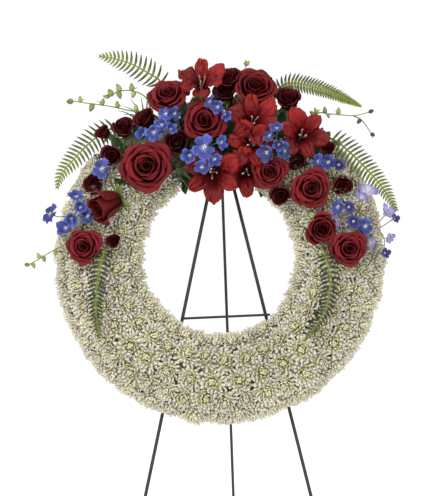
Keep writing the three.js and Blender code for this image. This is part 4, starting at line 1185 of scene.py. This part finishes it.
def mum_head(name, seed):
    """A head of radius about 1, its stem end at the origin."""
    chances = random.Random(seed)
    bpy.ops.mesh.primitive_uv_sphere_add(segments=8, ring_count=5, radius=1)
    core = bpy.context.object
    core.data.transform(Matrix.Diagonal((0.7, 0.7, 0.3, 1)))
    finished(core, WHITE_PETAL)
    count = len(core.data.vertices)
    set_growth(core, np.full(count, 0.3), np.full(count, 0.5))
    pieces = [tone(core, 0.6, 0.4)]
    for number in range(OUTER_PETALS):
        share = number / (OUTER_PETALS - 1)
        tip_out = 0.24 + 0.84 * share ** 0.85
        tip_up = 0.56 - 0.52 * share ** 1.6
        spread = math.atan2(tip_out, tip_up) + math.radians(chances.uniform(-5, 5))
        length = math.hypot(tip_out, tip_up) * chances.uniform(0.9, 1.06 + 0.14 * share)
        strap = STRAPS[max(0, min(3, int(4 * share + chances.uniform(-0.4, 0.4))))]
        place = (
            turned(number * GOLDEN_ANGLE + chances.uniform(-4, 4))
            @ Matrix.Translation((0, -0.05, 0.02 * (1 - share)))
            @ Matrix.Rotation(spread, 4, "X")
            @ Matrix.Rotation(chances.uniform(-0.15, 0.15), 4, "Z")
            @ Matrix.Diagonal((chances.uniform(0.85, 1.1), 1, length, 1))
        )
        pieces.append(copy_of(strap, place, share, chances.random()))
    for number in range(CENTRE_PETALS):
        lean = math.radians(2 + 1.8 * number)
        stretch = Matrix.Diagonal((0.7, 1, 0.40 + 0.010 * number, 1))
        place = turned(number * GOLDEN_ANGLE) @ Matrix.Rotation(lean, 4, "X") @ stretch
        pieces.append(copy_of(CENTRE_PETAL, place, number / (CENTRE_PETALS - 1), chances.random()))
    return join(name, pieces)


HEADS = [mum_head(f"chrysanthemum_head_{seed}", seed) for seed in (1, 2, 3, 4)]
discard(*STRAPS, CENTRE_PETAL)
print("faces of a head:", len(HEADS[0].data.polygons))

# %% [markdown]
# The heads stand on a rounded arch over the foam. The arch itself is packed leaves and stems, and its dark olive is
# also painted shade for the gaps between the heads: a stretched circle in section, cut flat with a bisect where it
# meets the tray, and spun round the ring for one sector.

# %% The arch of packed leaves, and places on it
SECTION_CENTRE = 30
SECTION_SIDE = 67.5
SECTION_FRONT = 48
TRAY_LEVEL = 9
ARCH_WALL = 5


def arch_sector(sector, half_width, height, material):
    bpy.ops.mesh.primitive_circle_add(vertices=20, radius=1, location=(0, 0, 0), rotation=(math.pi / 2, 0, 0))
    piece = bpy.context.object
    bpy.ops.object.transform_apply(location=True, rotation=True, scale=True)
    bpy.ops.object.mode_set(mode="EDIT")
    bpy.ops.mesh.select_all(action="SELECT")
    bpy.ops.transform.resize(value=(half_width, 1, height), center_override=(0, 0, 0))
    bpy.ops.transform.translate(value=(RING_RADIUS, 0, SECTION_CENTRE))
    bpy.ops.mesh.bisect(plane_co=(RING_RADIUS, 0, TRAY_LEVEL), plane_no=(0, 0, 1), clear_inner=True)
    bpy.ops.mesh.select_all(action="SELECT")
    bpy.ops.mesh.spin(steps=8, angle=math.radians(SECTOR_ANGLE - 0.1), center=(0, 0, 0), axis=(0, 0, 1))
    bpy.ops.mesh.select_all(action="SELECT")
    bpy.ops.mesh.remove_doubles(threshold=0.01)
    bpy.ops.mesh.normals_make_consistent(inside=False)
    bpy.ops.object.mode_set(mode="OBJECT")
    apply_modifier(piece, "SOLIDIFY", thickness=ARCH_WALL, offset=-1)
    piece.data.transform(Matrix.Rotation(math.radians(sector * SECTOR_ANGLE - 90), 4, "Z"))
    count = len(piece.data.vertices)
    set_growth(piece, np.full(count, 0.5), np.full(count, 0.5))
    return finished(piece, material)


def on_section(ring_angle, section_angle, scale=1.0):
    """A place on the arch's rounded section, and the way it faces; angles in degrees."""
    ring = math.radians(ring_angle)
    section = math.radians(section_angle)
    out = Vector((math.sin(ring), -math.cos(ring), 0))
    place = out * (RING_RADIUS + scale * SECTION_SIDE * math.cos(section))
    place.z = SECTION_CENTRE + scale * SECTION_FRONT * math.sin(section)
    facing = out * math.cos(section) + Vector((0, 0, 1.1 * math.sin(section)))
    return place, facing.normalized()


print("the arch stands", SECTION_CENTRE + SECTION_FRONT, "mm in front of the legs")

# %% [markdown]
# Six rows of heads run round the arch, from its outer side over the front to its inner side, each row shifted
# against the next. They are set a little closer than their own width, so that their outer petals mingle. The
# cover as a whole sits a few millimetres to the left of the tray, as it does in the photograph.

# %% The chrysanthemums
MUM_SECTORS = (0, 1, 2, 3, 7, 8, 9, 10)
MUM_ROWS = [(-10, 4), (22, 4), (54, 4), (86, 3), (120, 3), (156, 3)]  # section angle, heads a sector
MUM_SIZE = 28
MUM_SHIFT = Vector((-6, -1.5, 0))
INNER_EXTRA = {3: (0.15, 0.45), 7: (-0.45, -0.15)}  # sectors whose inner heads run on under the coloured flowers


def set_head(chances, ring_angle, section_angle):
    reach = 0.97 + 0.07 * math.cos(math.radians(section_angle)) ** 2
    section_angle += chances.uniform(-3, 3)
    place, facing = on_section(ring_angle, section_angle, reach * chances.uniform(0.96, 1.05))
    facing = (facing + 0.25 * Vector((chances.uniform(-1, 1), chances.uniform(-1, 1), 1.2))).normalized()
    size = MUM_SIZE * chances.uniform(0.9, 1.1)
    matrix = Matrix.Translation(place + MUM_SHIFT) @ pointing(facing) @ turned(chances.uniform(0, 360), size)
    head = copy_of(HEADS[chances.randrange(len(HEADS))], matrix)
    vary(head, chances.random())
    return head


for sector in MUM_SECTORS:
    chances = random.Random(100 + sector)
    pieces = [arch_sector(sector, 66, 46, PACKED_LEAVES_AND_GAP_SHADE)]
    for row, (section_angle, heads) in enumerate(MUM_ROWS):
        for number in range(heads):
            share = (number + (0.74 if row % 2 else 0.26) + chances.uniform(-0.07, 0.07)) / heads
            pieces.append(set_head(chances, (sector + share) * SECTOR_ANGLE, section_angle))
    for share in INNER_EXTRA.get(sector, ()):
        for section_angle in (90, 122, 156):
            beyond = sector + share + (1 if share > 0 else 0)
            pieces.append(set_head(chances, beyond * SECTOR_ANGLE, section_angle))
    piece = join("chrysanthemums", pieces)
    place_on_wreath(piece, f"chrysanthemums_{sector + 1}")
print("faces of the last sector:", len(piece.data.polygons))

# %% [markdown]
# Under the coloured flowers the arch is covered with broad dark leaves, which overlap like tiles and show
# from the sides, from above and through the gaps between the blooms.

# %% The leaf beds
BED_SECTORS = (4, 5, 6)
LEAF_ROWS = [(-4, 7), (22, 7), (50, 6), (80, 6), (110, 5), (140, 5), (168, 4), (188, 4)]  # as in MUM_ROWS
LEAF_SIZE = 46
LEAF_LEVEL = 0.86  # of the way out to the cover's own surface
INNER_LEAVES = (4.6, 6.4)  # sectors between which the leaves also cover the inner side

for sector in BED_SECTORS:
    chances = random.Random(200 + sector)
    pieces = [arch_sector(sector, 57, 41, DARK_MOSS)]
    for row, (section_angle, leaves) in enumerate(LEAF_ROWS):
        for number in range(leaves):
            share = (number + (0.75 if row % 2 else 0.25)) / leaves
            if section_angle > 105 and not INNER_LEAVES[0] <= sector + share <= INNER_LEAVES[1]:
                continue
            place, facing = on_section((sector + share) * SECTOR_ANGLE, section_angle, LEAF_LEVEL)
            side = FORWARD.cross(facing).normalized() if abs(facing.z) < 0.95 else Vector((1, 0, 0))
            lying = facing.cross(side) * (1 if section_angle > 90 else -1)
            out = (lying + 0.55 * facing + chances.uniform(-0.7, 0.7) * side).normalized()
            matrix = lying_at(place, out, facing) @ Matrix.Scale(LEAF_SIZE * chances.uniform(0.85, 1.15), 4)
            pieces.append(copy_of(BROAD_LEAF, matrix, 0.5, chances.random()))
    place_on_wreath(join("leaf_bed", pieces), f"leaf_bed_{sector + 1}")
print("leaf beds:", len(BED_SECTORS))

# %% [markdown]
# The ties are soft wire: a loop round the two pegs behind each front leg, with its ends twisted together.

# %% The wire ties
TIE_REACH = 9
TIE_RADIUS = 3.3
WIRE_RADIUS = 0.95
END_RADIUS = 0.8  # of the wire's twisted ends
TWIST = 0.9  # radius and step of the twisted ends in mm, and their turn at each step in radians
TIE_LEVEL = -4.9
LEGS_MEET = 250  # mm above the ring's centre, where the lines of the front legs meet
LEG_SLOPE = 0.2275  # how far each leg moves outwards for every millimetre down


def tie(side, node):
    middle = Vector((side * LEG_SLOPE * (LEGS_MEET + RING_RADIUS), -RING_RADIUS, TIE_LEVEL))
    loop = []
    for end, first in ((1, -90), (-1, 90)):
        for step in range(9):
            angle = math.radians(first + 22.5 * step)
            x, y = TIE_RADIUS * math.cos(angle), TIE_RADIUS * math.sin(angle)
            loop.append(middle + Vector((end * TIE_REACH + x, y, 0)))
    pieces = [stem([*loop, loop[0]], WIRE_RADIUS, TIE_WIRE)]
    for start in (0, math.pi):
        twist = []
        for step in range(14):
            turn = start + TWIST * step
            x, z = TWIST * math.cos(turn), TWIST * math.sin(turn)
            twist.append(middle + Vector((x, -TIE_RADIUS - TWIST * step, z)))
        pieces.append(stem(twist, END_RADIUS, TIE_WIRE))
    return place_on_wreath(join("tie", pieces), node)


tie(-1, "wire_tie_left")
tie(1, "wire_tie_right")
discard(OPEN_ROSE, CUPPED_ROSE, BUD_ROSE, SPRAY_ROSE, CALYX, GLADIOLUS, *BLUE_FLORETS, *LILAC_FLORETS,
        *BUD_MODELS.values(), *LEAFLETS.values(), BROAD_LEAF, *HEADS)
print("ties are on, models are cleared away")

# %% [markdown]
# A plain pale floor runs far back, and big soft lamps light the wreath, two from the front and one from behind.

# %% Floor, lamps and sky
bpy.ops.mesh.primitive_plane_add(size=60)
floor = bpy.context.object
floor.name = "floor"
floor_paint = bpy.data.materials.new("floor_paint")
floor_paint.use_nodes = True
tree = floor_paint.node_tree
plug(tree, tree.nodes["Principled BSDF"], {"Base Color": rgb(1.0, 1.0, 1.0), "Roughness": 0.9})
floor.data.materials.append(floor_paint)
floor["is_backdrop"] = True


def lamp(name, place, size, power):
    bpy.ops.object.light_add(type="AREA", location=place)
    light = bpy.context.object
    light.name = name
    light.data.size = size
    light.data.energy = power
    light.rotation_euler = (ring_centre - Vector(place)).to_track_quat("-Z", "Y").to_euler()


lamp("key_lamp", (-1.4, -2.6, 3.0), 1.4, 60)
lamp("fill_lamp", (2.4, -2.4, 1.4), 2.0, 14)
lamp("back_lamp", (0.8, 2.4, 2.8), 1.6, 16)
world = bpy.data.worlds.new("studio")
bpy.context.scene.world = world
world.use_nodes = True
plug(world.node_tree, world.node_tree.nodes["Background"], {"Color": rgb(1, 1, 1), "Strength": 1.05})
bpy.context.scene.view_settings.view_transform = "Standard"
print("lamps:", [light.name for light in bpy.data.lights])

# %% [markdown]
# Last come the counts: the triangles that the dressed pieces add, and the piece that holds the most of them.

# %% Sizes, and the end
triangles = {
    piece.name: sum(len(face.vertices) - 2 for face in piece.data.polygons)
    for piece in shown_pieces() if piece.name.endswith("_dressed")
}
heaviest = max(triangles, key=triangles.get)
print("triangles added:", sum(triangles.values()), "most in one piece:", heaviest, triangles[heaviest])
